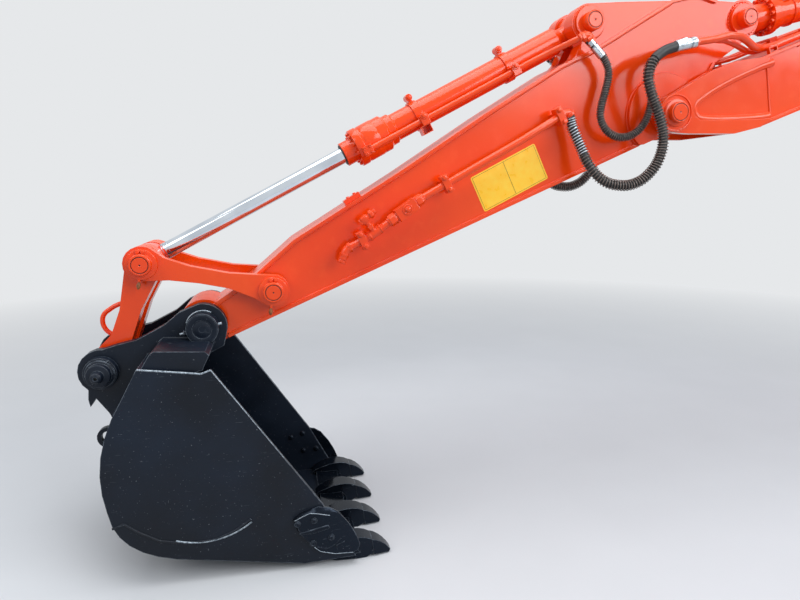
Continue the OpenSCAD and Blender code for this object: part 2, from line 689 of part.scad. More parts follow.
module arm_stop_valves() {
  color(paint) on_arm() mirrored() {
    on_arm_pipe(valve_at) difference() {
      translate([0, -27, -30]) cube([valve_l, 52, 60]);
      translate([-1, 0, 0]) rotate([0, 90, 0]) cylinder(d = wide_pipe_d + 0.5, h = valve_l + 2);
    }
  }
}
module bucket_cylinder_pipe() {
  color(paint) along(foot_pin_at, bucket_ram_v) {
    tube([[port_at, pipe_side, pipe_low], [1100, pipe_side, pipe_low],
          [300, pipe_side, pipe_low], [220, -120, 36], [140, -190, 40], [105, -203, 42],
          [92, -204, 50], [84, -204, 66]], thin_pipe_d, [-1, 0, 0]);
  }
}

// Routes from the nose pin, left side
wide_route = [[-530, -200, -75], [-487, -225, -180], [-459, -255, -257], [-397, -280, -328],
              [-322, -292, -351], [-236, -298, -342], [-159, -302, -289], [-111, -302, -208],
              [-102, -302, -128], [-125, -302, -45], [-157, -302, 23], [-189, -302, 90],
              [-205, -302, 157], [-189, -302, 216], [-140, -300, 263], [-68, -300, 293]];
thin_route = [[-477, -204, 321], [-430, -204, 289], [-379, -204, 237], [-355, -204, 183],
              [-365, -204, 100], [-382, -204, 30], [-384, -204, -30], [-359, -204, -77],
              [-314, -204, -109], [-259, -204, -118], [-194, -206, -97], [-152, -210, -53],
              [-130, -215, 4], [-126, -218, 60], [-138, -220, 115], [-148, -220, 174],
              [-134, -219, 232], [-90, -214, 281], [-45, -208, 304], [0, -205, 317]];
function way_in(p) = p[1] - p[0];
function way_out(p) = p[len(p) - 1] - p[len(p) - 2];
module boom_hose_fittings() {
  color(steel) at_nose() mirrored() {
    tube([wide_route[len(wide_route) - 1], wide_on_boom[0]], wide_hose_d + 6,
         way_out(wide_route), way_in(wide_on_boom));
    tube([thin_route[len(thin_route) - 1], thin_on_boom[0]], thin_hose_d + 6,
         way_out(thin_route), way_in(thin_on_boom));
  }
}
module arm_hose_fittings() {
  pipe_out = [for (p = arm_pipe_line) let (q = turned(p, arm_slope)) [q[0], pipe_y, q[1]]];
  color(steel) at_nose() mirrored()
    tube([pipe_out[len(pipe_out) - 1], wide_route[0] - pin_gap * unit(way_in(wide_route))],
         wide_hose_d + 6,
         way_out(pipe_out), way_in(wide_route));
}
module wide_hose_left() { color(rubber) at_nose() tube(wide_route, wide_hose_d); }
module thin_hose_left() { color(rubber) at_nose() tube(thin_route, thin_hose_d); }
module wide_hose_right() { mirror([0, 1, 0]) wide_hose_left(); }
module thin_hose_right() { mirror([0, 1, 0]) thin_hose_left(); }

boom();
boom_nose_pin();
boom_pipes();
boom_pipe_clamps();
boom_hose_fittings();
boom_pipe_bracket();
arm();
arm_pins();
arm_pipes();
arm_pipe_clamps();
arm_pipe_fittings();
arm_stop_valves();
arm_hose_fittings();
arm_grease_block();
arm_cylinder_barrel();
arm_cylinder_pin();
arm_cylinder_pipe();
arm_cylinder_rod();
bucket_cylinder_barrel();
bucket_cylinder_clamps();
bucket_cylinder_pipe();
bucket_cylinder_rod();
idler_links();
idler_pins();
bucket_link();
bucket_link_eye();
bucket_shell();
bucket_sides();
bucket_lip();
bucket_ears();
bucket_adapters();
bucket_teeth();
side_cutters();
bucket_hook();
bucket_pin();
bucket_link_pins();
wide_hose_left();
wide_hose_right();
thin_hose_left();
thin_hose_right();
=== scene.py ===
# %% [markdown]
# # The front attachment of a wheeled excavator
# A boom, an arm and a bucket hang from the machine by the boom's foot pin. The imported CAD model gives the
# steelwork its exact shape and motion. This notebook adds what makes it look like a used, freshly
# resprayed machine: enamel, chrome, hoses in coil guards, crimped fittings, pin ends, bolts and welds.

# %% The frame
import math
import random

import bmesh
import bpy
from mathutils import Matrix, Vector


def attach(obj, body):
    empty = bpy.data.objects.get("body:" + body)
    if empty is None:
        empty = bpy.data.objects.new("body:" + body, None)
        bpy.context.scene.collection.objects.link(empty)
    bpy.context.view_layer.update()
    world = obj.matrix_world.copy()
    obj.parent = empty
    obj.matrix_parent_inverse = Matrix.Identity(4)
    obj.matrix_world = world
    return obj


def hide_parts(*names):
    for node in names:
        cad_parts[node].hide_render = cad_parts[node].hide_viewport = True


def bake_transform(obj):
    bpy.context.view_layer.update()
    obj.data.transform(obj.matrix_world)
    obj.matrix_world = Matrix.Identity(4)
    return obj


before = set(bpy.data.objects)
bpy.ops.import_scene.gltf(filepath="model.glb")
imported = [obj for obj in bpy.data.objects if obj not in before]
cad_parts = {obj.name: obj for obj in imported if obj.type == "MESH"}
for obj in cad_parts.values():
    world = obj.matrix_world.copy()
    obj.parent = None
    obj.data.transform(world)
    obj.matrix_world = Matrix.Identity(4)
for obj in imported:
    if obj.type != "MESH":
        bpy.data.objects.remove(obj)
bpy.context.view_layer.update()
print("CAD nodes:", len(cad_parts))

# %% [markdown]
# The photograph was taken about three metres beside the machine's middle, from head height. The camera's
# focal length and place were worked out from pairs of pieces that lie at equal distances on both sides of
# the middle. A camera with the same field of view at the same place gives the same perspective.

# %% Camera
PHOTO_FOCAL_PIXELS = 600.93
PHOTO_WIDTH = 800
SENSOR_MM = 36.0


def placed(name, data):
    """An object of that name, linked to the scene."""
    made = bpy.data.objects.new(name, data)
    bpy.context.scene.collection.objects.link(made)
    return made


camera_data = bpy.data.cameras.new("photo_camera")
camera_data.sensor_width = SENSOR_MM
camera_data.lens = PHOTO_FOCAL_PIXELS / PHOTO_WIDTH * SENSOR_MM
camera = placed("photo_camera", camera_data)
camera.location = (-6.568, -2.9555, -0.1684)
camera.rotation_euler = (math.radians(90 - 10.084), 0, math.radians(-12.174))
bpy.context.scene.camera = camera
bpy.context.scene.view_settings.view_transform = "Standard"
print("lens", round(camera_data.lens, 2), "mm")

# %% [markdown]
# Places on the steelwork are named once. They are written in millimetres, as on a drawing, from the nose
# pin that joins boom and arm, or from the bucket pin. The arm's own places turn with its slope.

# %% Named places
NOSE = Vector((-4.595, 0, 0.220))
ARM_SLOPE = math.radians(23.2)
ARM_LENGTH = 2480


def near_nose(x, y, z):
    """A place given in millimetres from the nose pin."""
    return NOSE + Vector((x, y, z)) / 1000


def on_arm(x, y, z):
    """A place given in millimetres along, beside and across the arm, from the nose pin."""
    return near_nose(x * math.cos(ARM_SLOPE) - z * math.sin(ARM_SLOPE), y,
                     x * math.sin(ARM_SLOPE) + z * math.cos(ARM_SLOPE))


BUCKET_PIN = on_arm(-ARM_LENGTH, 0, 0)


def near_bucket(x, y, z):
    """A place given in millimetres from the bucket pin."""
    return BUCKET_PIN + Vector((x, y, z)) / 1000


LINK_PIN = near_bucket(-240, 0, 286)
LINK_FOOT = near_bucket(-435, 0, -183)
IDLER_PIN = on_arm(346 - ARM_LENGTH, 0, 14)
BUCKET_RAM_FOOT = on_arm(-234, 0, 556)
ARM_TAIL = on_arm(572, 0, 277)
ARM_RAM_FOOT = near_nose(2025, 0, 910)
SIDES = (-1, 1)
SIDE_NAMES = {-1: "left", 1: "right"}
print("bucket pin", [round(v, 3) for v in BUCKET_PIN])

# %% [markdown]
# Two hydraulic hoses cross the nose on each side. A hose is a tube of one diameter along a smooth line, so
# its route is a few points with a smooth curve through them. The points are the ones that the CAD hoses
# follow. Blender's Bezier curve with automatic handles gives the smooth line.

# %% Hose routes
WIDE_ROUTE = [(-530, -200, -75), (-487, -225, -180), (-459, -255, -257), (-397, -280, -328),
              (-322, -292, -351), (-236, -298, -342), (-159, -302, -289), (-111, -302, -208),
              (-102, -302, -128), (-125, -302, -45), (-157, -302, 23), (-189, -302, 90),
              (-205, -302, 157), (-189, -302, 216), (-140, -300, 263), (-68, -300, 293)]
THIN_ROUTE = [(-477, -204, 321), (-430, -204, 289), (-379, -204, 237), (-355, -204, 183),
              (-365, -204, 100), (-382, -204, 30), (-384, -204, -30), (-359, -204, -77),
              (-314, -204, -109), (-259, -204, -118), (-194, -206, -97), (-152, -210, -53),
              (-130, -215, 4), (-126, -218, 60), (-138, -220, 115), (-148, -220, 174),
              (-134, -219, 232), (-90, -214, 281), (-45, -208, 304), (0, -205, 317)]


def line_length(points):
    """The length of a line of points."""
    return sum((b - a).length for a, b in zip(points, points[1:]))


def evenly(points, step):
    """The same line with its points a step apart, its two ends kept."""
    lengths = [0.0]
    for a, b in zip(points, points[1:]):
        lengths.append(lengths[-1] + (b - a).length)
    count = max(2, round(lengths[-1] / step))
    made, k = [], 0
    for i in range(count + 1):
        wanted = lengths[-1] * i / count
        while k < len(points) - 2 and lengths[k + 1] < wanted:
            k += 1
        share = (wanted - lengths[k]) / max(lengths[k + 1] - lengths[k], 1e-9)
        made.append(points[k].lerp(points[k + 1], min(share, 1)))
    return made


def smooth_line(points, step):
    """Points a step apart on a smooth curve through all the given ones."""
    data = bpy.data.curves.new("line", "CURVE")
    data.dimensions = "3D"
    data.resolution_u = 24
    spline = data.splines.new("BEZIER")
    spline.bezier_points.add(len(points) - 1)
    for knot, place in zip(spline.bezier_points, points):
        knot.co = place
        knot.handle_left_type = knot.handle_right_type = "AUTO"
    holder = bpy.data.objects.new("line", data)
    dense = [v.co.copy() for v in holder.to_mesh().vertices]
    holder.to_mesh_clear()
    bpy.data.objects.remove(holder)
    bpy.data.curves.remove(data)
    return evenly(dense, step)


def swept(name, lines, radius, sides=12, swell=None):
    """Round tubes along lines, as one mesh. swell(i) makes a line's i-th point thicker or thinner."""
    data = bpy.data.curves.new(name, "CURVE")
    data.dimensions = "3D"
    data.bevel_depth = radius
    data.bevel_resolution = max(sides // 2 - 2, 0)
    data.use_fill_caps = True
    for line in lines:
        spline = data.splines.new("POLY")
        spline.points.add(len(line) - 1)
        for i, place in enumerate(line):
            spline.points[i].co = (*place, 1)
            spline.points[i].radius = swell(i) if swell else 1
    holder = bpy.data.objects.new(name, data)
    mesh = bpy.data.meshes.new_from_object(holder)
    bpy.data.objects.remove(holder)
    bpy.data.curves.remove(data)
    mesh.shade_smooth()
    return placed(name, mesh)


def on_side(points, side):
    """A line drawn on the left side (-1), or its mirror image on the right side (+1)."""
    return [Vector((p[0], -side * p[1], p[2])) for p in points]


# %% [markdown]
# Against rubbing, each hose runs in a coil of spring wire. The CAD tube stands for both: the hose is
# slimmer than it, and the coil a little wider. The coil is a helix that turns round the hose's own line:
# at each step a direction across the line is carried along, so the helix never jumps. The dark guard
# starts some way from the arm's end and leaves the boom's end bare. On the wide hose the stretch before it
# is drawn in bright zinc: a painted highlight.

# %% Hoses and coil guards
HOSES = {"wide": dict(route=WIDE_ROUTE, radius=0.0200, coil=0.0247, wire=0.0025, pitch=0.0138,
                      guard_from=0.150, bare=0.128, sleeve=0.0238,
                      turn=((-4, -300, 164), (-373, -300, -150))),
         "thin": dict(route=THIN_ROUTE, radius=0.0150, coil=0.0185, wire=0.0020, pitch=0.0112,
                      guard_from=0.098, bare=0.030, sleeve=0.0172,
                      turn=((-96, -205, 126), (-292, -205, 37)))}
GUARD_GAP = 0.004
BRIGHT_RISE = 0.0006
HOSE_STEP = 0.008
POINTS_IN_A_TURN = 16
hose_sets = []


def coil_round(line, radius, pitch, start, end):
    """A helix of that radius and pitch round a line, from start to end, in metres along it."""
    step = line_length(line) / (len(line) - 1)
    across = (line[1] - line[0]).orthogonal().normalized()
    made, along, phase = [], 0.0, 0.0
    for i in range(1, len(line)):
        way = (line[i] - line[i - 1]).normalized()
        across = (across - across.dot(way) * way).normalized()
        if start <= along <= end:
            beside = way.cross(across)
            made.append(line[i] + radius * (math.cos(phase) * across + math.sin(phase) * beside))
            phase += 2 * math.pi * step / pitch
        along += step
    return made


def part_of(line, start, end):
    """The stretch of a line from start to end, in metres along it."""
    step = line_length(line) / (len(line) - 1)
    return line[round(start / step):round(end / step) + 1]


for kind, hose in HOSES.items():
    for side in SIDES:
        name = f"{kind}_hose_{SIDE_NAMES[side]}"
        route = [near_nose(*p) for p in on_side([Vector(p) for p in hose["route"]], side)]
        line = smooth_line(route, HOSE_STEP)
        fine = smooth_line(route, hose["pitch"] / POINTS_IN_A_TURN)
        whole = line_length(fine)
        bare_from = whole - hose["bare"]
        rubber_piece = swept(name + "_rubber", [line], hose["radius"], sides=16)
        sleeve = swept(name + "_sleeve", [part_of(line, bare_from, whole)], hose["sleeve"], sides=20)
        turns = coil_round(fine, hose["coil"], hose["pitch"], hose["guard_from"], bare_from - GUARD_GAP)
        pieces = [sleeve, swept(name + "_guard", [turns], hose["wire"], sides=6)]
        if kind == "wide":
            # the turns before the dark guard are zinc: a painted highlight
            turns = coil_round(fine, hose["coil"] + BRIGHT_RISE, hose["pitch"], 0.0, hose["guard_from"])
            pieces.append(swept(name + "_bright_guard", [turns], hose["wire"], sides=6))
        hose_sets.append((kind, side, rubber_piece, pieces, line))
        print(name, round(line_length(line), 3), "m")

# %% [markdown]
# The stage is a pale floor under the bucket in an open, pale room. Far from the object the floor takes the
# room's own colour, so no horizon shows. Three wide soft panels light the object: one overhead for the
# open sky, one high on the camera's side, and a weaker one at the bucket's end. Enamel only looks glossy
# when it has something broad to mirror: the high panel shows as a pale sheen on the upper plates, and
# stops above eye level, as open sky does over a street. A dim strip below it softens that edge.

# %% Stage and light
FLOOR_Z = -1.8345
MIDDLE = Vector((-5.4, 0, FLOOR_Z))
FLOOR_REACH = 60


def mesh_of(name, bm):
    """A mesh of that name with a bmesh's faces. The bmesh is freed."""
    mesh = bpy.data.meshes.new(name)
    bm.to_mesh(mesh)
    bm.free()
    return mesh


floor_bm = bmesh.new()
bmesh.ops.create_grid(floor_bm, x_segments=2, y_segments=2, size=FLOOR_REACH)
bmesh.ops.translate(floor_bm, verts=floor_bm.verts, vec=MIDDLE)
floor = placed("studio_floor", mesh_of("studio_floor", floor_bm))


def soft_panel(name, at, towards, size, power, colour):
    """A rectangular lamp that faces a point."""
    lamp = bpy.data.lights.new(name, "AREA")
    lamp.shape = "RECTANGLE"
    lamp.size, lamp.size_y = size
    lamp.energy = power
    lamp.color = colour
    holder = placed(name, lamp)
    holder.location = at
    holder.rotation_euler = (Vector(towards) - Vector(at)).to_track_quat("-Z", "Y").to_euler()


soft_panel("sky_panel", (-6.0, -1.0, 6.0), (-5.4, 0, -0.2), (8, 5), 430, (0.96, 0.98, 1.0))
soft_panel("street_panel", (1.2, -7.6, 4.7), (-4.6, 0, 4.3), (9.5, 5), 830, (0.93, 0.965, 1.0))
soft_panel("hedge_panel", (-1.9, -7.7, 1.75), (-4.6, 0, 1.7), (3.4, 0.9), 17, (0.95, 0.975, 1.0))
soft_panel("yard_panel", (-11.0, -3.0, 3.0), (-5.6, 0, -0.6), (3, 3), 90, (1.0, 0.99, 0.97))

# %% [markdown]
# Every finish is a small tree of shader nodes. One function adds a node with its settings and links, and
# one turns a hex colour, as a paint chart gives it, into the linear light that the renderer counts in.
# Paint, rubber and vinyl mirror light as films do whose refractive index is 1.5.

# %% Material helpers
FILM_INDEX = 1.5


def linear(hex_colour):
    """An sRGB colour such as F0501E as linear red, green, blue and alpha."""
    parts = [int(hex_colour[i:i + 2], 16) / 255 for i in (0, 2, 4)]
    return tuple(c / 12.92 if c <= 0.04045 else ((c + 0.055) / 1.055) ** 2.4 for c in parts) + (1.0,)


def fill(tree, node, inputs):
    """Fills a node's inputs with values or with other nodes' outputs."""
    for socket, value in inputs.items():
        if isinstance(value, bpy.types.NodeSocket):
            tree.links.new(value, node.inputs[socket])
        else:
            node.inputs[socket].default_value = value


def add(tree, kind, inputs=None, **settings):
    """Adds one node, sets its options, and fills its inputs."""
    made = tree.nodes.new("ShaderNode" + kind)
    for option, value in settings.items():
        setattr(made, option, value)
    fill(tree, made, inputs or {})
    return made


def finish_named(name):
    """A new material with an empty tree, its shader and its output."""
    material = bpy.data.materials.new(name)
    material.use_nodes = True
    tree = material.node_tree
    tree.nodes.clear()
    shader = add(tree, "BsdfPrincipled")
    add(tree, "OutputMaterial", {"Surface": shader.outputs[0]})
    return material, tree, shader


def blended(tree, share, low, high):
    """Two colours mixed by a share."""
    return add(tree, "Mix", {0: share, 6: low, 7: high}, data_type="RGBA").outputs[2]


def stretched(tree, value, low, high, to_low=0.0, to_high=1.0):
    """A value's range from low to high, stretched over another range and clipped there."""
    return add(tree, "MapRange", {0: value, 1: low, 2: high, 3: to_low, 4: to_high}).outputs[0]


def maths(tree, operation, a, b):
    """Two values combined by a Math node."""
    return add(tree, "Math", {0: a, 1: b}, operation=operation).outputs[0]


def times(tree, a, b):
    """The product of two values."""
    return maths(tree, "MULTIPLY", a, b)


def distance(tree, a, b):
    """How far two places are apart."""
    return add(tree, "VectorMath", {0: a, 1: b}, operation="DISTANCE").outputs["Value"]


def noise(tree, place, grain_mm, detail):
    """Cloudy noise whose blots are about that many millimetres wide."""
    return add(tree, "TexNoise", {"Vector": place, "Scale": 1000 / grain_mm, "Detail": detail}).outputs[0]


def bumped(tree, strength, depth, height, under=None):
    """Normals of a skin whose height varies by up to depth in metres, over other normals."""
    inputs = {"Strength": strength, "Distance": depth, "Height": height}
    if under is not None:
        inputs["Normal"] = under
    return add(tree, "Bump", inputs).outputs[0]


# %% [markdown]
# The attachment has been resprayed with alkyd machine enamel over plate, castings and old welds. Sprayed
# enamel levels out to a high gloss with a slight orange peel, and thin plate between welds is never quite
# flat, so its reflections wander. The peel is drawn at 6 mm, coarser than the real 2 mm, so that it shows.

# %% Orange enamel
def rounded_edges(tree, radius):
    """Normals that turn smoothly over an edge, as thick paint does over a ground corner."""
    return add(tree, "Bevel", {"Radius": radius}, samples=8).outputs[0]


def edge_share(tree, radius):
    """1 along sharp edges and 0 on flat plate: where black paint wears through first, and where the enamel
    takes a painted highlight.
    """
    plain = add(tree, "NewGeometry").outputs["Normal"]
    agree = add(tree, "VectorMath", {0: rounded_edges(tree, radius), 1: plain},
                operation="DOT_PRODUCT").outputs["Value"]
    return stretched(tree, agree, 0.985, 0.86)


def orange_enamel():
    """Glossy orange with broad tone, faded patches, a paler pink where it faces up, and a painted highlight
    along sharp edges.
    """
    material, tree, shader = finish_named("orange_machine_enamel")
    place = add(tree, "TexCoord").outputs["Object"]
    broad = noise(tree, place, 900, 3.0)
    patch = noise(tree, place, 70, 4.0)
    sprayed = blended(tree, stretched(tree, broad, 0.35, 0.65), linear("EB3F06"), linear("F04B0C"))
    faded = blended(tree, stretched(tree, patch, 0.55, 0.8, 0.0, 0.30), sprayed, linear("FA5A20"))
    upward = add(tree, "SeparateXYZ", {0: add(tree, "NewGeometry").outputs["Normal"]}).outputs[2]
    lying = stretched(tree, upward, 0.55, 0.95)
    # faces that look up are mixed towards a paler pink
    paler_top_share = times(tree, lying, stretched(tree, patch, 0.3, 0.7, 0.10, 0.26))
    paler_on_top = blended(tree, paler_top_share, faded, linear("D8876A"))
    # a lighter orange along sharp edges: a painted edge highlight
    thin = times(tree, edge_share(tree, 0.003), 0.18)
    gloss = stretched(tree, patch, 0.3, 0.75, 0.11, 0.20)
    buckled = bumped(tree, 0.30, 0.005, noise(tree, place, 210, 0.5), rounded_edges(tree, 0.003))
    fill(tree, shader, {"Base Color": blended(tree, thin, paler_on_top, linear("FF7A4A")),
                        "Roughness": maths(tree, "ADD", gloss, times(tree, lying, 0.22)),
                        "Normal": bumped(tree, 0.03, 0.0006, noise(tree, place, 6, 0.5), buckled),
                        "IOR": FILM_INDEX, "Specular IOR Level": 0.45})
    return material


enamel = orange_enamel()
print("made", enamel.name)

# %% [markdown]
# The bucket is mild steel plate under satin black chassis paint. Soil dust sticks to it as pale specks,
# long scratches cross it, and its edges and weld toes are rubbed to a pale, blue grey.

# %% Black chassis paint
def black_paint(name, wear, gloss, tone_low, tone_high, mirror):
    """Black film: wear is how bare its edges are, gloss its least roughness, mirror its strength."""
    material, tree, shader = finish_named(name)
    place = add(tree, "TexCoord").outputs["Object"]
    cloud = noise(tree, place, 310, 5.0)
    grit = noise(tree, place, 7, 2.0)
    rub = noise(tree, place, 26, 6.0)
    film = blended(tree, stretched(tree, cloud, 0.35, 0.7), linear(tone_low), linear(tone_high))
    specks = blended(tree, stretched(tree, grit, 0.715, 0.765, 0.0, 0.5), film, linear("8C9298"))
    long_way = add(tree, "Mapping", {"Vector": place, "Rotation": (0, 0.9, 0),
                                     "Scale": (9, 9, 240)}).outputs[0]
    streak = add(tree, "TexNoise", {"Vector": long_way, "Scale": 1.0, "Detail": 2.0}).outputs[0]
    scratch = times(tree, stretched(tree, streak, 0.70, 0.74, 0.0, 0.3), stretched(tree, rub, 0.45, 0.6))
    scored = blended(tree, scratch, specks, linear("6E757C"))
    bare = times(tree, edge_share(tree, 0.006), stretched(tree, rub, 0.40, 0.58, 0.25, 1.0))
    dented = bumped(tree, 0.5, 0.005, noise(tree, place, 140, 1.0), rounded_edges(tree, 0.004))
    # road dust in the film's pores takes about half of its mirror's strength
    fill(tree, shader, {"Base Color": blended(tree, times(tree, bare, wear), scored, linear("9BA6B2")),
                        "Roughness": stretched(tree, cloud, 0.3, 0.7, gloss, gloss + 0.16),
                        "Normal": bumped(tree, 0.2, 0.0008, grit, dented),
                        "IOR": FILM_INDEX, "Specular IOR Level": mirror})
    return material


chassis_black = black_paint("satin_black_chassis_paint", 0.55, 0.34, "0A111B", "131D2B", 0.25)
tooth_black = black_paint("scuffed_glossy_black_paint", 0.35, 0.13, "070B11", "0D131C", 0.27)
# its mirror is tinted blue: a painted blue cast on its reflections
tooth_black.node_tree.nodes["Principled BSDF"].inputs["Specular Tint"].default_value = linear("C2D6F4")

# %% [markdown]
# A cylinder rod is hard-chromed and ground, so it is nearly a perfect mirror. The crimped sleeves are
# zinc-plated, softer and a little blue. Where weld and edge are rubbed bare the steel is dull and grey.
# A rod and its eye are one CAD node, so the shader paints the eye: all that lies near the pin's axis.

# %% Chrome, zinc and bare steel
EYE_RADIUS = 0.086
PAINT_EDGE = 0.0005


def plain_metal(name, hex_low, hex_high, roughness, grain_mm, painted_round=None):
    """A bare metal. Within EYE_RADIUS of the point painted_round it carries the machine's orange."""
    material, tree, shader = finish_named(name)
    place = add(tree, "TexCoord").outputs["Object"]
    cloud = noise(tree, place, grain_mm, 4.0)
    tint = blended(tree, stretched(tree, cloud, 0.35, 0.65), linear(hex_low), linear(hex_high))
    rough = stretched(tree, cloud, 0.3, 0.7, *roughness)
    metal = 1.0
    if painted_round:
        flat = add(tree, "Mapping", {"Vector": place, "Scale": (1, 0, 1)}).outputs[0]
        away = distance(tree, flat, (painted_round.x, 0, painted_round.z))
        metal = stretched(tree, away, EYE_RADIUS - PAINT_EDGE, EYE_RADIUS + PAINT_EDGE)
        tint = blended(tree, metal, linear("F2411F"), tint)
        rough = maths(tree, "ADD", rough, stretched(tree, metal, 0, 1, 0.14, 0.0))
    fill(tree, shader, {"Base Color": tint, "Metallic": metal, "Roughness": rough,
                        "Normal": bumped(tree, 0.06, 0.0005, noise(tree, place, grain_mm / 12, 1.0))})
    return material


ROD_EYES = {"bucket_cylinder_rod": LINK_PIN, "arm_cylinder_rod": ARM_TAIL}
chrome = {rod: plain_metal("hard_chrome_" + rod, "CBD3DC", "DEE5EC", (0.05, 0.09), 110, eye)
          for rod, eye in ROD_EYES.items()}
zinc = plain_metal("zinc_plated_steel_and_highlight", "A6B0B8", "CDD4DA", (0.22, 0.38), 16)
bare_steel_and_highlight = plain_metal("rubbed_bare_steel_and_highlight", "6C7680", "A7B1BA", (0.32, 0.5), 9)

# %% [markdown]
# Hose rubber is black, matt and faintly dusty. The guards are spring wire under thin brown-black lacquer.
# Old grease at the nipples has dried brown. A plain yellow vinyl plate is stuck to the arm's left side.

# %% Rubber, wire, grease and vinyl
def dull_finish(name, hex_low, hex_high, roughness, grain_mm, bump):
    """A soft film or rubber whose tone and roughness vary between two values each."""
    material, tree, shader = finish_named(name)
    place = add(tree, "TexCoord").outputs["Object"]
    cloud = noise(tree, place, grain_mm, 5.0)
    tint = blended(tree, stretched(tree, cloud, 0.35, 0.7), linear(hex_low), linear(hex_high))
    fill(tree, shader, {"Base Color": tint, "Roughness": stretched(tree, cloud, 0.3, 0.7, *roughness),
                        "Normal": bumped(tree, bump, 0.0006, noise(tree, place, grain_mm / 9, 2.0)),
                        "IOR": FILM_INDEX})
    return material


rubber = dull_finish("dusty_hose_rubber", "121315", "212021", (0.40, 0.6), 25, 0.3)
guard_wire = dull_finish("lacquered_spring_wire", "4A403B", "85766E", (0.22, 0.36), 18, 0.2)
grease = dull_finish("dried_grease", "6A3A1C", "A8642F", (0.35, 0.6), 8, 0.5)
# black for seals and print, and for the painted shade in pin grooves, dimples and the foot pin's socket
black_seals_print_and_shade = dull_finish("black_seal_rubber_print_and_shade", "0B0B0C", "17181A", (0.4, 0.6), 12, 0.2)
yellow_film = dull_finish("yellow_vinyl_film", "FFC21E", "FFCE38", (0.26, 0.36), 33, 0.05)

# %% [markdown]
# The floor is matt and pale. With distance it fades into the room's colour. Rays from the camera, from
# mirrors and through glass see a plain off-white room and a pale floor. Rays that carry soft light see an
# even sky and a floor as dark as gravel, so the undersides of the steelwork stay as dark as outdoors.

# %% Floor and world
ROOM_COLOUR = "E6E8EA"
FADE_FROM, FADE_TO = 3.0, 9.0


def light_path_share(tree):
    """1 for rays from the camera, a mirror or glass, and 0 for rays that carry soft light."""
    rays = add(tree, "LightPath").outputs
    share = maths(tree, "MAXIMUM", rays["Is Camera Ray"], rays["Is Glossy Ray"])
    return maths(tree, "MAXIMUM", share, rays["Is Transmission Ray"])


floor_material, tree, shader = finish_named("pale_studio_floor")
place = add(tree, "TexCoord").outputs["Object"]
seen = light_path_share(tree)
pale = blended(tree, noise(tree, place, 500, 6.0), linear("CFD0D2"), linear("D6D7D9"))
fill(tree, shader, {"Base Color": blended(tree, seen, linear("9A9B9D"), pale), "Roughness": 0.8})
away = distance(tree, place, MIDDLE)
glow = add(tree, "Emission", {"Color": linear(ROOM_COLOUR), "Strength": 1.0})
fade = add(tree, "MixShader", {0: stretched(tree, away, FADE_FROM, FADE_TO), 1: shader.outputs[0],
                               2: glow.outputs[0]})
fill(tree, tree.nodes["Material Output"], {"Surface": fade.outputs[0]})
floor.data.materials.append(floor_material)

world = bpy.data.worlds.new("pale_room")
bpy.context.scene.world = world
world.use_nodes = True
room = world.node_tree
room.nodes.clear()
seen = light_path_share(room)
sky = add(room, "Background", {"Color": linear("DDE6F2"), "Strength": 0.42})
plain = add(room, "Background", {"Color": linear(ROOM_COLOUR), "Strength": 1.0})
mixed = add(room, "MixShader", {0: seen, 1: sky.outputs[0], 2: plain.outputs[0]})
add(room, "OutputWorld", {"Surface": mixed.outputs[0]})

# %% [markdown]
# CAD nodes keep their shape and get these finishes in place of their plain colours. Their meshes are loose
# flat triangles, which would show as facets on barrels and pins. A Geometry Nodes modifier leaves the mesh
# alone and only changes what is shown: it joins the triangles and shades smooth across flat angles.

# %% Finishes on the CAD nodes
BLACK_NODES = ("bucket_shell", "bucket_sides", "bucket_ears", "bucket_hook", "bucket_pin",
               "bucket_link_pins")
GLOSSY_NODES = ("bucket_teeth", "bucket_adapters", "bucket_lip", "side_cutters")
MERGE_DISTANCE = 1e-5
FACET_ANGLE = 28


def joined_and_smooth(limit_degrees):
    """A node group that merges doubles and shades smooth, save over edges sharper than a limit."""
    group = bpy.data.node_groups.new("joined_and_smooth", "GeometryNodeTree")
    for way in ("INPUT", "OUTPUT"):
        group.interface.new_socket("Geometry", in_out=way, socket_type="NodeSocketGeometry")
    start, end = group.nodes.new("NodeGroupInput"), group.nodes.new("NodeGroupOutput")
    weld = group.nodes.new("GeometryNodeMergeByDistance")
    weld.inputs["Distance"].default_value = MERGE_DISTANCE
    angle = group.nodes.new("GeometryNodeInputMeshEdgeAngle")
    sharp = group.nodes.new("FunctionNodeCompare")
    sharp.operation = "GREATER_THAN"
    sharp.inputs[1].default_value = math.radians(limit_degrees)
    faces = group.nodes.new("GeometryNodeSetShadeSmooth")
    edges = group.nodes.new("GeometryNodeSetShadeSmooth")
    edges.domain = "EDGE"
    edges.inputs["Shade Smooth"].default_value = False
    group.links.new(start.outputs[0], weld.inputs["Geometry"])
    group.links.new(weld.outputs["Geometry"], faces.inputs["Geometry"])
    group.links.new(faces.outputs["Geometry"], edges.inputs["Geometry"])
    group.links.new(angle.outputs["Unsigned Angle"], sharp.inputs[0])
    group.links.new(sharp.outputs["Result"], edges.inputs["Selection"])
    group.links.new(edges.outputs["Geometry"], end.inputs[0])
    return group


shaded = joined_and_smooth(FACET_ANGLE)
for name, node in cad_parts.items():
    node.modifiers.new("joined_and_smooth", "NODES").node_group = shaded
    finish = enamel
    if name in BLACK_NODES:
        finish = chassis_black
    elif name in GLOSSY_NODES:
        finish = tooth_black
    elif name in ROD_EYES:
        finish = chrome[name]
    elif "fittings" in name and "hose" in name:
        finish = zinc
    elif "hose" in name:
        finish = rubber
    node.data.materials.clear()
    node.data.materials.append(finish)

# %% [markdown]
# Small hardware comes from a few shapes, each made once and copied into place. A turned piece is half its
# outline spun round an axis. A hexagon is a six-sided disc, extruded and chamfered. A block is a cube with
# bevelled edges. Copies for one body and one finish gather in one mesh, so the piece count stays low.

# %% Shapes for hardware
groups = {}


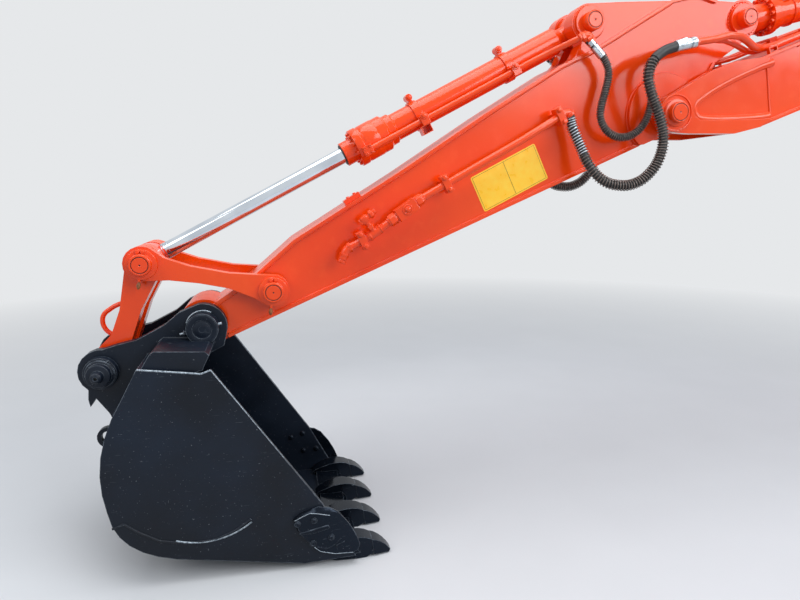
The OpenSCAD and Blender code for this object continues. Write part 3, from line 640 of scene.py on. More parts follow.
def as_shape(bm):
    """Closes seams and poles, turns all faces outward, and keeps the result as a mesh to copy."""
    bmesh.ops.remove_doubles(bm, verts=bm.verts, dist=1e-6)
    bmesh.ops.recalc_face_normals(bm, faces=bm.faces)
    return mesh_of("shape", bm)


def pulled(bm, faces, move):
    """Extrudes faces and moves the new ones."""
    grown = bmesh.ops.extrude_face_region(bm, geom=faces)["geom"]
    bmesh.ops.translate(bm, verts=[g for g in grown if isinstance(g, bmesh.types.BMVert)], vec=move)


def bevelled(bm, geom, offset_mm, segments=2, affect="EDGES"):
    bmesh.ops.bevel(bm, geom=geom, offset=offset_mm / 1000, affect=affect, segments=segments,
                    profile=0.5, material=-1)


def turned(profile, steps=36):
    """A profile of (radius, height) pairs in millimetres, spun round Z."""
    bm = bmesh.new()
    knots = [bm.verts.new((r / 1000, 0, h / 1000)) for r, h in profile]
    edges = [bm.edges.new(pair) for pair in zip(knots, knots[1:])]
    bmesh.ops.spin(bm, geom=knots + edges, cent=(0, 0, 0), axis=(0, 0, 1), angle=2 * math.pi,
                   steps=steps, use_merge=True)
    return as_shape(bm)


def disc(radius, height, steps=28, lip=None):
    """A round bar or washer in millimetres; lip is its chamfer's width and height."""
    rim = [(radius, height - lip[1]), (radius - lip[0], height)] if lip else [(radius, height)]
    return turned([(0, 0), (radius, 0), *rim, (0, height)], steps)


def hexagon(across, height, chamfer=1.5):
    """A hexagon that many millimetres across flats, standing on XY."""
    bm = bmesh.new()
    bmesh.ops.create_circle(bm, cap_ends=True, segments=6, radius=across / math.sqrt(3) / 1000)
    pulled(bm, bm.faces[:], (0, 0, height / 1000))
    bevelled(bm, [e for e in bm.edges if all(v.co.z > height / 2000 for v in e.verts)], chamfer)
    return as_shape(bm)


def cuboid(length, width, height):
    bm = bmesh.new()
    bmesh.ops.create_cube(bm, size=1)
    bmesh.ops.scale(bm, verts=bm.verts, vec=(length / 1000, width / 1000, height / 1000))
    return bm


def block(length, width, height, chamfer):
    """A block in millimetres, standing on XY, with bevelled edges."""
    bm = cuboid(length, width, height)
    bmesh.ops.translate(bm, verts=bm.verts, vec=(0, 0, height / 2000))
    bevelled(bm, bm.edges[:], chamfer)
    return as_shape(bm)


def put(group, shape, at, way=(0, 0, 1), ahead=None):
    """Adds a copy of a shape to a group: its Z along way, and its X as near ahead as it goes."""
    bm = groups.setdefault(group, bmesh.new())
    up = Vector(way).normalized()
    across = Vector(ahead) if ahead is not None else up.orthogonal()
    x = (across - across.dot(up) * up).normalized()
    turn = Matrix((x, up.cross(x), up)).transposed().to_4x4()
    first = len(bm.verts)
    bm.from_mesh(shape)
    bm.verts.ensure_lookup_table()
    bmesh.ops.transform(bm, matrix=Matrix.Translation(at) @ turn, verts=bm.verts[first:])


LEFT = (0, -1, 0)


def both_sides(group, shape, at, way=LEFT, ahead=None):
    """The same on the left side, where it is drawn, and mirrored on the right."""
    for side in SIDES:
        put(group, shape, Vector((at[0], -side * at[1], at[2])),
            (way[0], -side * way[1], way[2]),
            None if ahead is None else (ahead[0], -side * ahead[1], ahead[2]))


def leftward(mm):
    """A step of that many millimetres to the left, away from the machine's middle."""
    return Vector((0, -mm / 1000, 0))


ARM, BOOM, LINKS, BUCKET = (("arm", "enamel"), ("boom", "enamel"), ("idler_links", "enamel"),
                            ("bucket", "black"))

# %% [markdown]
# Every pin ends in a turned cap: a rounded outer ring, a groove, and the end of the pin with the dimple
# of the lathe's centre. The gap is a real groove, because light catches its edge from every side; a black
# ring in its bottom and a black dot in the dimple are painted shade. The nose pin's cap stands on two
# rings, an outer one with a rounded lip and an inner collar.

# %% Pin ends
GROOVE_DEPTH = 8


def pin_end(radius, rise, ring):
    """A cap of that radius and height whose groove has the radius ring."""
    return turned([(0, 0), (radius + 0.6, 0), (radius + 0.6, rise - 5), (radius - 1, rise - 1.5),
                   (radius - 4, rise), (ring + 2.4, rise), (ring + 1.2, rise - 1.2),
                   (ring + 1.2, rise - GROOVE_DEPTH), (ring - 2.2, rise - GROOVE_DEPTH),
                   (ring - 2.2, rise - 1.2), (ring - 3.4, rise), (5, rise), (3.6, rise - 1.5),
                   (0, rise - 4)], 56)


def painted_shade_ring(ring):
    """A black ring in the bottom of the groove: painted shade."""
    return turned([(ring - 2.3, 0), (ring + 1.3, 0), (ring + 1.3, 4.5), (ring - 2.3, 4.5),
                   (ring - 2.3, 0)], 56)


# body, pin, and in millimetres: the face it stands on, radius, groove radius, height
PIN_ENDS = [("boom", NOSE, 240, 49, 41, 40.0), ("arm", BUCKET_RAM_FOOT, 153, 45, 36, 44.5),
            ("arm", ARM_TAIL, 153, 45, 36, 44.5), ("boom", ARM_RAM_FOOT, 90, 45, 36, 44.5),
            ("idler_links", IDLER_PIN, 201, 45, 35, 44.5), ("idler_links", LINK_PIN, 201, 46, 35, 44.5)]
painted_shade_dimple = turned([(0, 0), (4.2, 0), (3.2, 1.6), (0, 2.0)], 16)
for body, pin, face, radius, ring, rise in PIN_ENDS:
    at = pin + leftward(face)
    both_sides((body, "enamel"), pin_end(radius, rise, ring), at)
    # a black ring in each groove and a black dot in each dimple: painted shade
    both_sides((body, "seal"), painted_shade_ring(ring), at + leftward(rise - GROOVE_DEPTH))
    both_sides((body, "seal"), painted_shade_dimple, at + leftward(rise - 3.2))

nose_rim = turned([(0, 0), (92, 0), (92, 15), (90.5, 19.5), (87, 22), (84, 21.5), (82, 18.5), (81, 16.5),
                   (66, 16.5), (66, 23), (64, 26), (60, 27.5), (0, 27.5)], 64)
both_sides(BOOM, nose_rim, NOSE + leftward(224))
both_sides(BOOM, hexagon(11, 7), near_nose(-73.5, -240.5, -4))

# %% [markdown]
# The ring round each idler pin and link pin carries two lock bolts, and a grease nipple hangs under it.
# The nipple is a turned piece: hexagon, neck and ball. Old grease sits on it as a brown, uneven lump.

# %% Lock bolts and grease nipples
ring_edge = turned([(0, 0), (66.6, 0), (66.6, 10.5), (64.5, 14), (60, 15), (0, 15)], 56)
bolt_16 = hexagon(16, 9)
washer_16 = turned([(0, 0), (12.5, 0), (12.5, 1.6), (11.8, 2.2), (0, 2.2)], 24)
nipple = turned([(0, 0), (7, 0), (7, 9), (4.5, 11), (4.0, 18), (6.2, 20), (6.2, 27), (3.6, 29.5),
                 (4.6, 32.5), (3.4, 35.5), (0, 36.5)], 16)
lump = bmesh.new()
bmesh.ops.create_icosphere(lump, subdivisions=3, radius=0.0085)
lumps = random.Random(7)
bmesh.ops.scale(lump, verts=lump.verts, vec=(1.0, 1.0, 2.0))
for vert in lump.verts:
    vert.co *= 1 + lumps.uniform(-0.10, 0.14)
bmesh.ops.smooth_vert(lump, verts=lump.verts, factor=0.5, use_axis_x=True, use_axis_y=True,
                      use_axis_z=True)
lump = as_shape(lump)
BOLT_REACH = 0.0555
for pin, lean in ((IDLER_PIN, 0.25), (LINK_PIN, 0.35)):
    face = pin + leftward(201)
    both_sides(LINKS, ring_edge, face)
    for turn in (math.radians(78), math.radians(100)):
        spot = face + Vector((math.cos(turn), 0, math.sin(turn))) * BOLT_REACH
        both_sides(LINKS, washer_16, spot + leftward(15.0))
        both_sides(LINKS, bolt_16, spot + leftward(17.2))
    below = pin + Vector((-0.012, -0.210, -0.064))
    down = (-lean * 0.4, -0.15, -1)
    both_sides(LINKS, nipple, below, down)
    both_sides(("idler_links", "grease"), lump, below + Vector((-0.003, -0.004, -0.026)), down)

# %% [markdown]
# A weld bead is a row of overlapping ripples, one for each small step of the torch. It is swept like a
# thin tube whose thickness swells and falls every 7 mm, and sunk to its middle into the corner it fills.

# %% Weld beads
RIPPLE_STEP = 0.00175
RIPPLES = (0.90, 1.06, 1.12, 1.0)
bead_lines = {}


def shifted(points, across):
    """A side-view line moved that many millimetres to the left of its own way."""
    made = []
    for i, p in enumerate(points):
        a, b = Vector(points[max(i - 1, 0)]), Vector(points[min(i + 1, len(points) - 1)])
        way = (b - a).normalized()
        made.append((p[0] - way.y * across, p[1] + way.x * across))
    return made


def bead(body, finish, radius, frame_place, points, y):
    """Notes a bead on both sides: points in a side view, at a distance y from the middle."""
    for side in SIDES:
        line = [frame_place(p[0], side * y, p[1]) for p in points]
        bead_lines.setdefault((body, finish, radius), []).append(evenly(line, RIPPLE_STEP))


def ring_points(x, z, radius, start, end):
    """Points on an arc, about 6 degrees apart."""
    count = max(8, round(abs(end - start) / 6))
    turns = [math.radians(start + (end - start) * i / count) for i in range(count + 1)]
    return [(x + radius * math.cos(turn), z + radius * math.sin(turn)) for turn in turns]


ARM_TOP = [(-2410, 66), (-2190, 108), (-1953, 184), (-1366, 274), (-869, 362), (-441, 427),
           (-251, 435), (211, 502)]
ARM_BOTTOM = [(-2405, -104), (-1528, -99), (-120, -91)]
BOOM_TOP = [(700, 369), (1401, 623)]
BOOM_BOTTOM = [(520, -52), (745, 34), (1250, 203)]
FLANGE_STEP = 16
bead("arm", "enamel", 0.0055, on_arm, shifted(ARM_TOP, -FLANGE_STEP), 137)
bead("arm", "enamel", 0.0055, on_arm, shifted(ARM_BOTTOM, FLANGE_STEP), 137)
bead("arm", "enamel", 0.0050, on_arm, ring_points(0, 0, 203, 8, 206), 137)
bead("arm", "enamel", 0.0045, on_arm, ring_points(-234, 556, 78, -120, 240), 136)
bead("boom", "enamel", 0.0055, near_nose, shifted(BOOM_TOP, -FLANGE_STEP), 200)
bead("boom", "enamel", 0.0055, near_nose, shifted(BOOM_BOTTOM, FLANGE_STEP), 200)
bead("boom", "enamel", 0.0050, near_nose, [(529, 276), (585, -7)], 199)

# %% [markdown]
# The cheeks of the nose are castings. Their recess has a generous rounded rim, which catches the light as
# one clean line. A round bar laid along the recess and half sunk into the cheek gives that rim.

# %% Rim of the nose's recess
def hang(piece, finish, body):
    """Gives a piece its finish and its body."""
    piece.data.materials.append(finish)
    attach(piece, body)


RECESS = [(560, 279), (492, 255), (269, 155), (150, 82), (127, 62), (117, 40), (118, 15), (131, -10),
          (160, -27), (525, -14), (575, -5)]
rims = [smooth_line([near_nose(x, side * 195, z) for x, z in shifted(RECESS, 11)], 0.006)
        for side in SIDES]
hang(swept("nose_recess_rim", rims, 0.0212, sides=32), enamel, "boom")

# %% [markdown]
# The bucket's plates are joined by heavier beads. Those on the side plates' front and top edges stick out
# and are rubbed bright. The low arc on each side is a repair weld, bright only where it stands proudest.

# %% Bucket welds
# finish, radius in metres, points, and their distance from the bucket's middle
BUCKET_BEADS = [
    ("worn", 0.0042, [(-236, -110), (-20, -138), (8, -142), (47, -128)], 463),
    ("worn", 0.0024, [(47, -128), (182, -324)], 464),
    ("worn", 0.0014, [(182, -324), (330, -539)], 464.6),
    ("black", 0.0055, [(-379, -786), (-333, -769), (-274, -816), (-196, -863), (-92, -888),
                       (25, -886), (112, -854), (181, -807)], 464.5),
    ("worn", 0.0042, ring_points(-20, -560, 330, 250, 308), 466.6),
    ("black", 0.0060, [(-174, -43), (28, -54), (43, -70), (13, -132)], 203),
    ("black", 0.0060, [(-408, -390), (-384, -350), (-302, -229), (-240, -111), (-225, -111)], 203),
    ("black", 0.0055, [(520, -1012), (640, -1008)], 441),
    # bare steel round the upper left of the pin's boss only: a painted highlight
    ("enamel_ring", 0.0040, ring_points(0, 0, 73, 60, 165), 202.5)]
for finish, radius, points, y in BUCKET_BEADS:
    bead("bucket", finish, radius, near_bucket, points, y)

# %% [markdown]
# The boss of the arm's tail is held by a ring of short stitch welds, which look like a row of beads.

# %% Stitch welds
STITCHES = 34
STITCH_RING = 0.0835
stitch = turned([(0, 0), (5.0, 0), (4.6, 2.2), (3.2, 4.0), (1.6, 4.8), (0, 5.0)], 14)
for i in range(STITCHES):
    turn = 2 * math.pi * i / STITCHES
    both_sides(ARM, stitch,
               ARM_TAIL + Vector((STITCH_RING * math.cos(turn), -0.135, STITCH_RING * math.sin(turn))))

# %% [markdown]
# The bucket pin's collar is a plain disc with a lock bolt right through it, and a plug in a ring groove.
# The link's foot pin stands further out, in two steps, with a hexagon socket in its end; a black disc
# at the socket's bottom is painted shade.

# %% Bucket pin ends
collar = turned([(0, 0), (69.6, 0), (69.6, 50), (67.5, 56), (63, 59), (43, 59.5), (41, 58.5), (41, 54),
                 (37.5, 54), (37.5, 57), (35, 58.5), (14, 58.5), (11, 56.5), (0, 56)], 64)
both_sides(BUCKET, collar, near_bucket(0, -201, 0))
groove = turned([(38, 0), (41, 0), (41, 1.5), (38, 1.5), (38, 0)], 48)
both_sides(("bucket", "worn"), groove, near_bucket(0, -254.2, 0))
LOCK_TILT = math.radians(13.5)
lock_way = Vector((math.cos(LOCK_TILT), 0, math.sin(LOCK_TILT)))
lock_middle = near_bucket(0, -236, 0)
for way, length in ((lock_way, 19), (-lock_way, 32)):
    both_sides(("bucket", "worn"), disc(7, length, 20, (1, 2)), lock_middle + way * 0.067, way)
both_sides(BUCKET, hexagon(24, 13), lock_middle - lock_way * 0.069, -lock_way)
foot_pin = turned([(0, -46), (38, -46), (38, 1), (71, 1), (71, 30), (69, 34), (64, 36), (61, 36),
                   (60, 42), (50.5, 46), (50.5, 68), (49, 72), (44, 74.5), (30, 75), (27, 77),
                   (25.5, 92), (22, 104), (14, 110), (8.6, 111), (7.2, 109), (7.2, 98), (0, 98)], 64)
both_sides(("bucket", "pin"), foot_pin, LINK_FOOT + leftward(201))
# a black disc at the bottom of the foot pin's socket: painted shade
both_sides(("bucket", "seal"), disc(7.3, 2, 12), LINK_FOOT + leftward(299.2))
both_sides(("bucket", "pin"), block(22, 9, 8, 1.5), LINK_FOOT + Vector((0.036, -0.2350, 0.052)))
foot_ring = turned([(40, 0), (71.5, 0), (71.5, 3), (69.5, 5), (40, 5), (40, 0)], 56)
both_sides(BUCKET, foot_ring, LINK_FOOT + leftward(200.5))

# %% [markdown]
# A side cutter is a bolted casting. Two outlines are bridged, one plane grinds its blade, and a raised rib
# and curved beads stand on it. It replaces the plain CAD plate and is a little thinner, so that the bolt
# heads stay within the bucket's width.

# %% Side cutters
CUTTER_BACK = [(357, -830), (398, -799), (435, -788), (472, -780), (523, -790), (560, -814),
               (608, -877), (637, -930), (658, -983), (648, -1012), (625, -1022), (541, -1017),
               (474, -998), (445, -971), (383, -897)]
CUTTER_FACE = [(366, -828), (404, -810), (434, -799), (470, -806), (520, -819), (573, -833),
               (603, -868), (630, -925), (650, -980), (642, -1003), (622, -1012), (541, -1008),
               (477, -989), (449, -964), (390, -895)]
CUTTER_RIB = [(384, -890), (512, -864), (519, -879), (453, -895), (388, -896)]
CUTTER_OUT = 488.5


def side_ring(bm, place, outline, y):
    """A closed ring of edges through a side-view outline."""
    ring = [bm.verts.new(place(x, y, z)) for x, z in outline]
    return [bm.edges.new(pair) for pair in zip(ring, ring[1:] + ring[:1])]


def slab(outline, thickness, chamfer, y, side):
    """A side-view outline as a plate that grows outwards from y, with a bevelled outer rim."""
    bm = bmesh.new()
    face = bm.faces.new([bm.verts.new(near_bucket(x, side * y, z)) for x, z in outline])
    pulled(bm, [face], (0, side * thickness / 1000, 0))
    outer = (y + thickness - 0.01) / 1000
    bevelled(bm, [e for e in bm.edges if all(abs(v.co.y) > outer for v in e.verts)], chamfer, 3)
    return as_shape(bm)


def cutter_casting(side):
    """The casting: its back outline bridged to a smaller front face, then ground to a blade."""
    bm = bmesh.new()
    loops = [side_ring(bm, near_bucket, outline, side * y)
             for outline, y in ((CUTTER_BACK, 465), (CUTTER_BACK, 472), (CUTTER_FACE, CUTTER_OUT))]
    for low, high in zip(loops, loops[1:]):
        bmesh.ops.bridge_loops(bm, edges=low + high)
    bmesh.ops.holes_fill(bm, edges=loops[0] + loops[2])
    bmesh.ops.recalc_face_normals(bm, faces=bm.faces)
    ridge_a, ridge_b, edge_point = (near_bucket(x, side * y, z) for x, y, z in
                                    ((488, 488.6, -817), (597, 488.6, -986), (630, 473, -912)))
    across = (ridge_b - ridge_a).cross(edge_point - ridge_a).normalized()
    if across.y * side < 0:
        across = -across
    bmesh.ops.bisect_plane(bm, geom=bm.verts[:] + bm.edges[:] + bm.faces[:], dist=1e-6,
                           plane_co=ridge_a, plane_no=across, clear_outer=True)
    bmesh.ops.holes_fill(bm, edges=[e for e in bm.edges if e.is_boundary])
    bmesh.ops.triangulate(bm, faces=bm.faces[:])
    return as_shape(bm)


def gathered(name, meshes):
    """Several meshes as one."""
    bm = bmesh.new()
    for mesh in meshes:
        bm.from_mesh(mesh)
    return mesh_of(name, bm)


CORNER_ANGLE = math.radians(32)


def own_piece(mesh, finish, body):
    """Hangs a finished mesh in the scene under its own name, smooth between sharp edges."""
    mesh.shade_smooth()
    mesh.set_sharp_from_angle(angle=CORNER_ANGLE)
    made = placed(mesh.name, mesh)
    hang(made, finish, body)
    return made


castings = []
for side in SIDES:
    castings += [cutter_casting(side), slab(CUTTER_RIB, 4, 2.5, CUTTER_OUT - 0.2, side)]
cutters = own_piece(gathered("side_cutter_castings", castings), tooth_black, "bucket")
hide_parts("side_cutters")
CUTTER_BEADS = [("tooth", 0.0034, [(461, -965), (505, -978), (540, -963), (568, -935)], 488),
                ("tooth", 0.0028, [(551, -986), (547, -966), (585, -952)], 488),
                ("worn", 0.0017, CUTTER_FACE[:5], 487.8), ("worn", 0.0017, CUTTER_FACE[10:14], 487.8)]
for finish, radius, points, y in CUTTER_BEADS:
    bead("bucket", finish, radius, near_bucket, points, y)
cup_head = turned([(0, 0), (16, 0), (16, 3), (14.8, 5), (12.6, 5.4), (12.0, 4), (9.6, 4), (8.8, 6.6),
                   (7.4, 8.4), (0, 9)], 30)
for x, z in ((378, -843), (450, -835), (525, -924), (444, -942)):
    both_sides(("bucket", "tooth"), cup_head, near_bucket(x, -487.5, z))
inner_head = turned([(0, 0), (16, 0), (15.4, 5), (12.5, 9.5), (7, 12), (0, 12.6)], 28)
for x, z in ((384, -826), (452, -807), (454, -914), (530, -908)):
    both_sides(("bucket", "tooth"), inner_head, near_bucket(x, -445, z), (0, 1, 0))

# %% [markdown]
# The bucket cylinder's gland is screwed on by a ring of socket-head bolts, and its oil port is a small
# flange with four bolts. A dark wiper seal closes the gland round the rod. Round the barrel the pipe's
# clamp bands have their own bolts and a bracket below.

# %% Bucket cylinder hardware
BUCKET_RAM = ("bucket_cylinder_barrel", BUCKET_RAM_FOOT, LINK_PIN)
BUCKET_ROD = ("bucket_cylinder_rod", LINK_PIN, BUCKET_RAM_FOOT)
ARM_RAM = ("arm_cylinder_barrel", ARM_RAM_FOOT, ARM_TAIL)
ARM_ROD = ("arm_cylinder_rod", ARM_TAIL, ARM_RAM_FOOT)


def ram_ways(ram):
    """A cylinder's own direction, and the one that points out under it."""
    way = (ram[2] - ram[1]).normalized()
    return way, Vector((-way.z, 0, way.x))


def along_ram(ram, x, y, z):
    """A place x along a cylinder from its foot, y beside it and z under it, in millimetres."""
    way, under = ram_ways(ram)
    return ram[1] + (x * way + Vector((0, y, 0)) + z * under) / 1000


def ring_of_bolts(ram, x, radius, count, shape, start=0.0):
    """Bolts round a cylinder's axis that point at its tip."""
    for i in range(count):
        turn = 2 * math.pi * (i + start) / count
        put((ram[0], "enamel"), shape,
            along_ram(ram, x, radius * math.cos(turn), radius * math.sin(turn)), ram_ways(ram)[0])


def band(ram, x, finish, profile):
    """A turned band round a cylinder. Its profile starts and ends inside the cylinder's metal."""
    put((ram[0], finish), turned(profile, 64), along_ram(ram, x, 0, 0), ram_ways(ram)[0])


def channel(length, width, height, wall):
    """A short open channel in millimetres: a block whose -Y face is inset and pushed in."""
    bm = cuboid(length, width, height)
    bm.normal_update()
    front = [f for f in bm.faces if f.normal.y < -0.9]
    bmesh.ops.inset_region(bm, faces=front, thickness=wall / 1000)
    pushed = bmesh.ops.extrude_face_region(bm, geom=front)["geom"]
    bmesh.ops.delete(bm, geom=front, context="FACES_ONLY")
    bmesh.ops.translate(bm, verts=[g for g in pushed if isinstance(g, bmesh.types.BMVert)],
                        vec=(0, (width - 2 * wall) / 1000, 0))
    return as_shape(bm)


socket_head = turned([(0, 0), (7.8, 0), (7.8, 10.5), (7.0, 11.5), (4.2, 11.5), (3.8, 7.5), (0, 7.5)], 20)
ring_of_bolts(BUCKET_RAM, 1272.5, 73, 10, socket_head, 0.5)
band(BUCKET_RAM, 1234, "enamel",
       [(80, 0), (88, 0), (90.5, 2.5), (90.5, 35), (88.5, 38.6), (60, 38.6), (60, 0), (80, 0)])
band(BUCKET_RAM, 1150, "enamel", [(80, 0), (86.2, 0), (88, 3), (88, 72), (86.2, 76), (80, 76), (80, 0)])
band(BUCKET_RAM, 1331, "seal",
       [(38.2, 0), (52, 0), (52, 3), (49, 8), (44, 10), (38.2, 10), (38.2, 0)])
band(BUCKET_RAM, 1326, "enamel", [(50, 0), (57.6, 0), (57.6, 7), (55.5, 10), (50, 10), (50, 0)])
for x, radius in ((75, 38.6), (86, 38.6), (101, 38.4)):
    band(BUCKET_ROD, x, "zinc",
           [(34, 0), (radius, 0), (radius + 0.4, 1.5), (radius, 3.5), (34, 3.5), (34, 0)])
RAM_ENAMEL = ("bucket_cylinder_barrel", "enamel")
cap_bolt = turned([(0, 0), (6.8, 0), (6.8, 8), (6.0, 9), (3.6, 9), (3.2, 5.5), (0, 5.5)], 18)
for x, z in ((1223, 19), (1251, 19), (1223, 47), (1251, 47)):
    put(RAM_ENAMEL, cap_bolt, along_ram(BUCKET_RAM, x, -117.5, z), LEFT)
ram_way, ram_under = ram_ways(BUCKET_RAM)
hex_lug = hexagon(18, 8)
for x in (420, 930):
    put(RAM_ENAMEL, disc(17, 44), along_ram(BUCKET_RAM, x, 22, -92), LEFT)
    for y, z in ((-22, -92), (-119.5, 14)):
        put(RAM_ENAMEL, disc(17, 6, lip=(2, 2)), along_ram(BUCKET_RAM, x, y, z), LEFT)
        put(RAM_ENAMEL, hex_lug, along_ram(BUCKET_RAM, x, y - 6, z), LEFT, ram_way)
put(RAM_ENAMEL, channel(50, 58, 40, 5), along_ram(BUCKET_RAM, 940, -86, 76), ram_under, ram_way)

# %% [markdown]
# The arm cylinder shows its gland end at the photograph's upper right: a ring of large socket-head bolts
# on the flange, a port block with a bolted flange on top, and a pipe back to the boom.

# %% Arm cylinder hardware
big_socket = turned([(0, 0), (10.5, 0), (10.5, 17), (9.3, 18.5), (6.0, 18.5), (5.4, 11), (0, 11)], 22)
ring_of_bolts(ARM_RAM, 1424, 84.5, 14, big_socket)
band(ARM_RAM, 1546, "seal", [(43.2, 0), (60, 0), (60, 3), (56, 9), (49, 11), (43.2, 11), (43.2, 0)])
band(ARM_RAM, 1262, "enamel", [(65, 0), (76, 0), (79, 3), (79, 16), (76, 19), (65, 19), (65, 0)])
for x in (1288, 1348):
    for y in (-58, -26):
        put((ARM_RAM[0], "enamel"), hexagon(19, 11), along_ram(ARM_RAM, x, y, -111),
            -ram_ways(ARM_RAM)[1])
band(ARM_ROD, 84, "zinc", [(40, 0), (44, 0), (44.6, 2), (44, 4), (40, 4), (40, 0)])

# %% [markdown]
# The auxiliary pipe on the arm's side is held by clamps with a bolt above and below. Its stop valve has a
# round plug with a hexagon in the middle, and the fittings are rounded where the wrench goes.

# %% Hardware of the arm's pipe
FITTING = ("arm", "fitting")
PIPE_OUT = -200
CLAMP_FACE = -224
PIPE_LINE = [(-1794, 12), (-1752, 53), (-1648, 58), (-1530, 82), (-1330, 124), (-1183, 139),
             (-788, 179), (-530, 213)]


def on_pipe(x, y, up=0.0):
    """A place on the arm's pipe, x millimetres from the nose pin, and the pipe's direction there."""
    for (x0, z0), (x1, z1) in zip(PIPE_LINE, PIPE_LINE[1:]):
        if x0 <= x <= x1:
            way = Vector((x1 - x0, z1 - z0)).normalized()
            z = z0 + (z1 - z0) * (x - x0) / (x1 - x0)
            at = on_arm(x - way.y * up, y, z + way.x * up)
            return at, (on_arm(x + way.x, y, z + way.y) - on_arm(x, y, z)).normalized()


for x in (-1667, -1200, -560):
    for up in (-30, 31):
        at, way = on_pipe(x, CLAMP_FACE, up)
        both_sides(ARM, disc(13, 2, 20), at)
        both_sides(ARM, hexagon(19, 9), at + leftward(2), ahead=way)
at, way = on_pipe(-1421, -226)
plug = turned([(0, 0), (25, 0), (25, 3), (23.5, 5), (17.5, 5), (17, 3.5), (14.5, 3.5), (14, 7),
               (12.5, 8.5), (0, 8.5)], 40)
both_sides(ARM, plug, at)
both_sides(ARM, hexagon(17, 15), at, ahead=way)
for x, length in ((-1516, 36), (-1365, 32)):
    at, way = on_pipe(x, PIPE_OUT)
    both_sides(FITTING, hexagon(49, length, 4), at, way, LEFT)
for x, length, radius in ((-1526, 60, 22.5), (-1372, 48, 22.5), (-1640, 76, 22.0), (-1632, 8, 24.5),
                          (-1574, 8, 24.5)):
    at, way = on_pipe(x, PIPE_OUT)
    both_sides(FITTING, turned([(0, 0), (radius - 2, 0), (radius, 2), (radius, length - 2),
                                (radius - 2, length), (0, length)], 36), at, way)
stub_foot = on_arm(-1602, -204, 70)
stub_way = (on_arm(-1618, -212, 128) - stub_foot).normalized()
elbow_at = on_arm(-1622, -212, 142)
cross_way = (on_arm(-1572, -214, 158) - elbow_at).normalized()
lower_end = [on_arm(x, PIPE_OUT, z) for x, z in ((-1742, 52), (-1756, 47), (-1772, 33), (-1788, 17))]
end_way = (lower_end[3] - lower_end[2]).normalized()
pipe_nose = turned([(0, 0), (19, 0), (19, 8), (16, 10), (16, 14), (20, 16), (20, 28), (18, 31), (0, 31)],
                   32)
PIPE_FITTINGS = [
    (disc(15, 74), stub_foot, stub_way, None),
    (hexagon(37, 17, 3), stub_foot + stub_way * 0.026, stub_way, LEFT),
    (block(38, 36, 36, 8), elbow_at - stub_way * 0.016, stub_way, cross_way),
    (disc(13, 64, lip=(2, 2)), elbow_at, cross_way, None),
    (hexagon(35, 17, 3), elbow_at + cross_way * 0.031, cross_way, LEFT),
    (hexagon(30, 10, 2.5), elbow_at - cross_way * 0.026, cross_way, LEFT),
    (hexagon(41, 17, 3), on_arm(-1728, PIPE_OUT, 53.5), on_arm(-1, 0, -0.05) - NOSE, LEFT),
    (hexagon(41, 15, 3), lower_end[2] - end_way * 0.004, end_way, LEFT),
    (pipe_nose, lower_end[2] + end_way * 0.010, end_way, None)]
for shape, at, way, ahead in PIPE_FITTINGS:
    both_sides(FITTING, shape, at, way, ahead)


def elbow(name, line, radius):
    """A bent steel tube along a line, on each side of the arm."""
    for side in SIDES:
        bend = swept(f"{name}_{SIDE_NAMES[side]}", [smooth_line(on_side(line, side), 0.004)], radius,
                     sides=20)
        hang(bend, enamel, "arm")


elbow("pipe_end_elbow", lower_end, 0.0205)

# %% [markdown]
# A hose ends in a steel sleeve that a press has crimped onto it in narrow lands, then a groove and a
# swivel nut. The sleeves are turned pieces with shallow ribs.

# %% Hose fittings
def crimped(radius, crimp_end, whole):
    """A crimped sleeve from the hose's end at 0 to its nut's end at whole, in millimetres."""
    profile = [(0, 0), (radius - 1.6, 0), (radius, 1.5)]
    for h in range(7, crimp_end - 4, 9):
        profile += [(radius, h), (radius - 1.1, h + 1.5), (radius - 1.1, h + 5.5), (radius, h + 7)]
    profile += [(radius, crimp_end), (radius - 5, crimp_end + 2), (radius - 5, crimp_end + 7),
                (radius - 0.8, crimp_end + 9), (radius - 0.8, whole - 3), (radius - 3, whole), (0, whole)]
    return turned(profile, 40)


for at, towards, radius, crimp_end, whole in (
        ((-72, -300, 292), (38, -302, 318), 26.5, 70, 106),
        ((-4, -205, 316), (60, -209, 334), 20.5, 50, 78)):
    way = Vector(towards) - Vector(at)
    both_sides(("boom", "zinc"), crimped(radius, crimp_end, whole), near_nose(*at), way)
    both_sides(BOOM, hexagon(2 * radius - 8, 14, 2),
               near_nose(*at) + way.normalized() * (whole - 4) / 1000, way)

# %% [markdown]
# At the arm's end the wide hose comes straight out of its pipe. There the guard's last turns are drawn
# in bright zinc: a painted highlight. A short core and its own coil stand for the CAD sleeve.

# %% Wide hose at the arm's pipe
ARM_END_ROUTE = [on_arm(-507, -200, 201), near_nose(-541, -200, -32), near_nose(-535, -201, -58),
                 near_nose(-527, -202, -84)]
stubs, bright_turns = [], []
for side in SIDES:
    core = smooth_line(on_side(ARM_END_ROUTE, side), 0.002)
    stub = swept("core", [evenly(core, 0.006)], 0.0206, sides=18)
    stubs.append(stub.data)
    bpy.data.objects.remove(stub)
    fine = evenly(core, 0.0007)
    bright_turns.append(coil_round(fine, 0.0252, 0.0112, 0.012, line_length(fine) - 0.004))
arm_ends = own_piece(gathered("wide_hose_arm_ends", stubs), rubber, "arm")
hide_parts("arm_hose_fittings")
# the coil at the arm's pipe is zinc: a painted highlight
hang(swept("wide_hose_arm_end_guard", bright_turns, 0.0023, sides=6), zinc, "arm")
pipe_collar = turned([(0, 0), (24, 0), (26, 2), (26, 14), (24, 16), (0, 16)], 36)
both_sides(ARM, pipe_collar, on_arm(-510, -200, 207), on_arm(-505, -200, 190) - on_arm(-510, -200, 207))

# %% [markdown]
# The thin hose hangs from a forged elbow below the bucket cylinder's foot: a stubby bend with a nut at
# each end and a short crimped sleeve. The arm carries it.

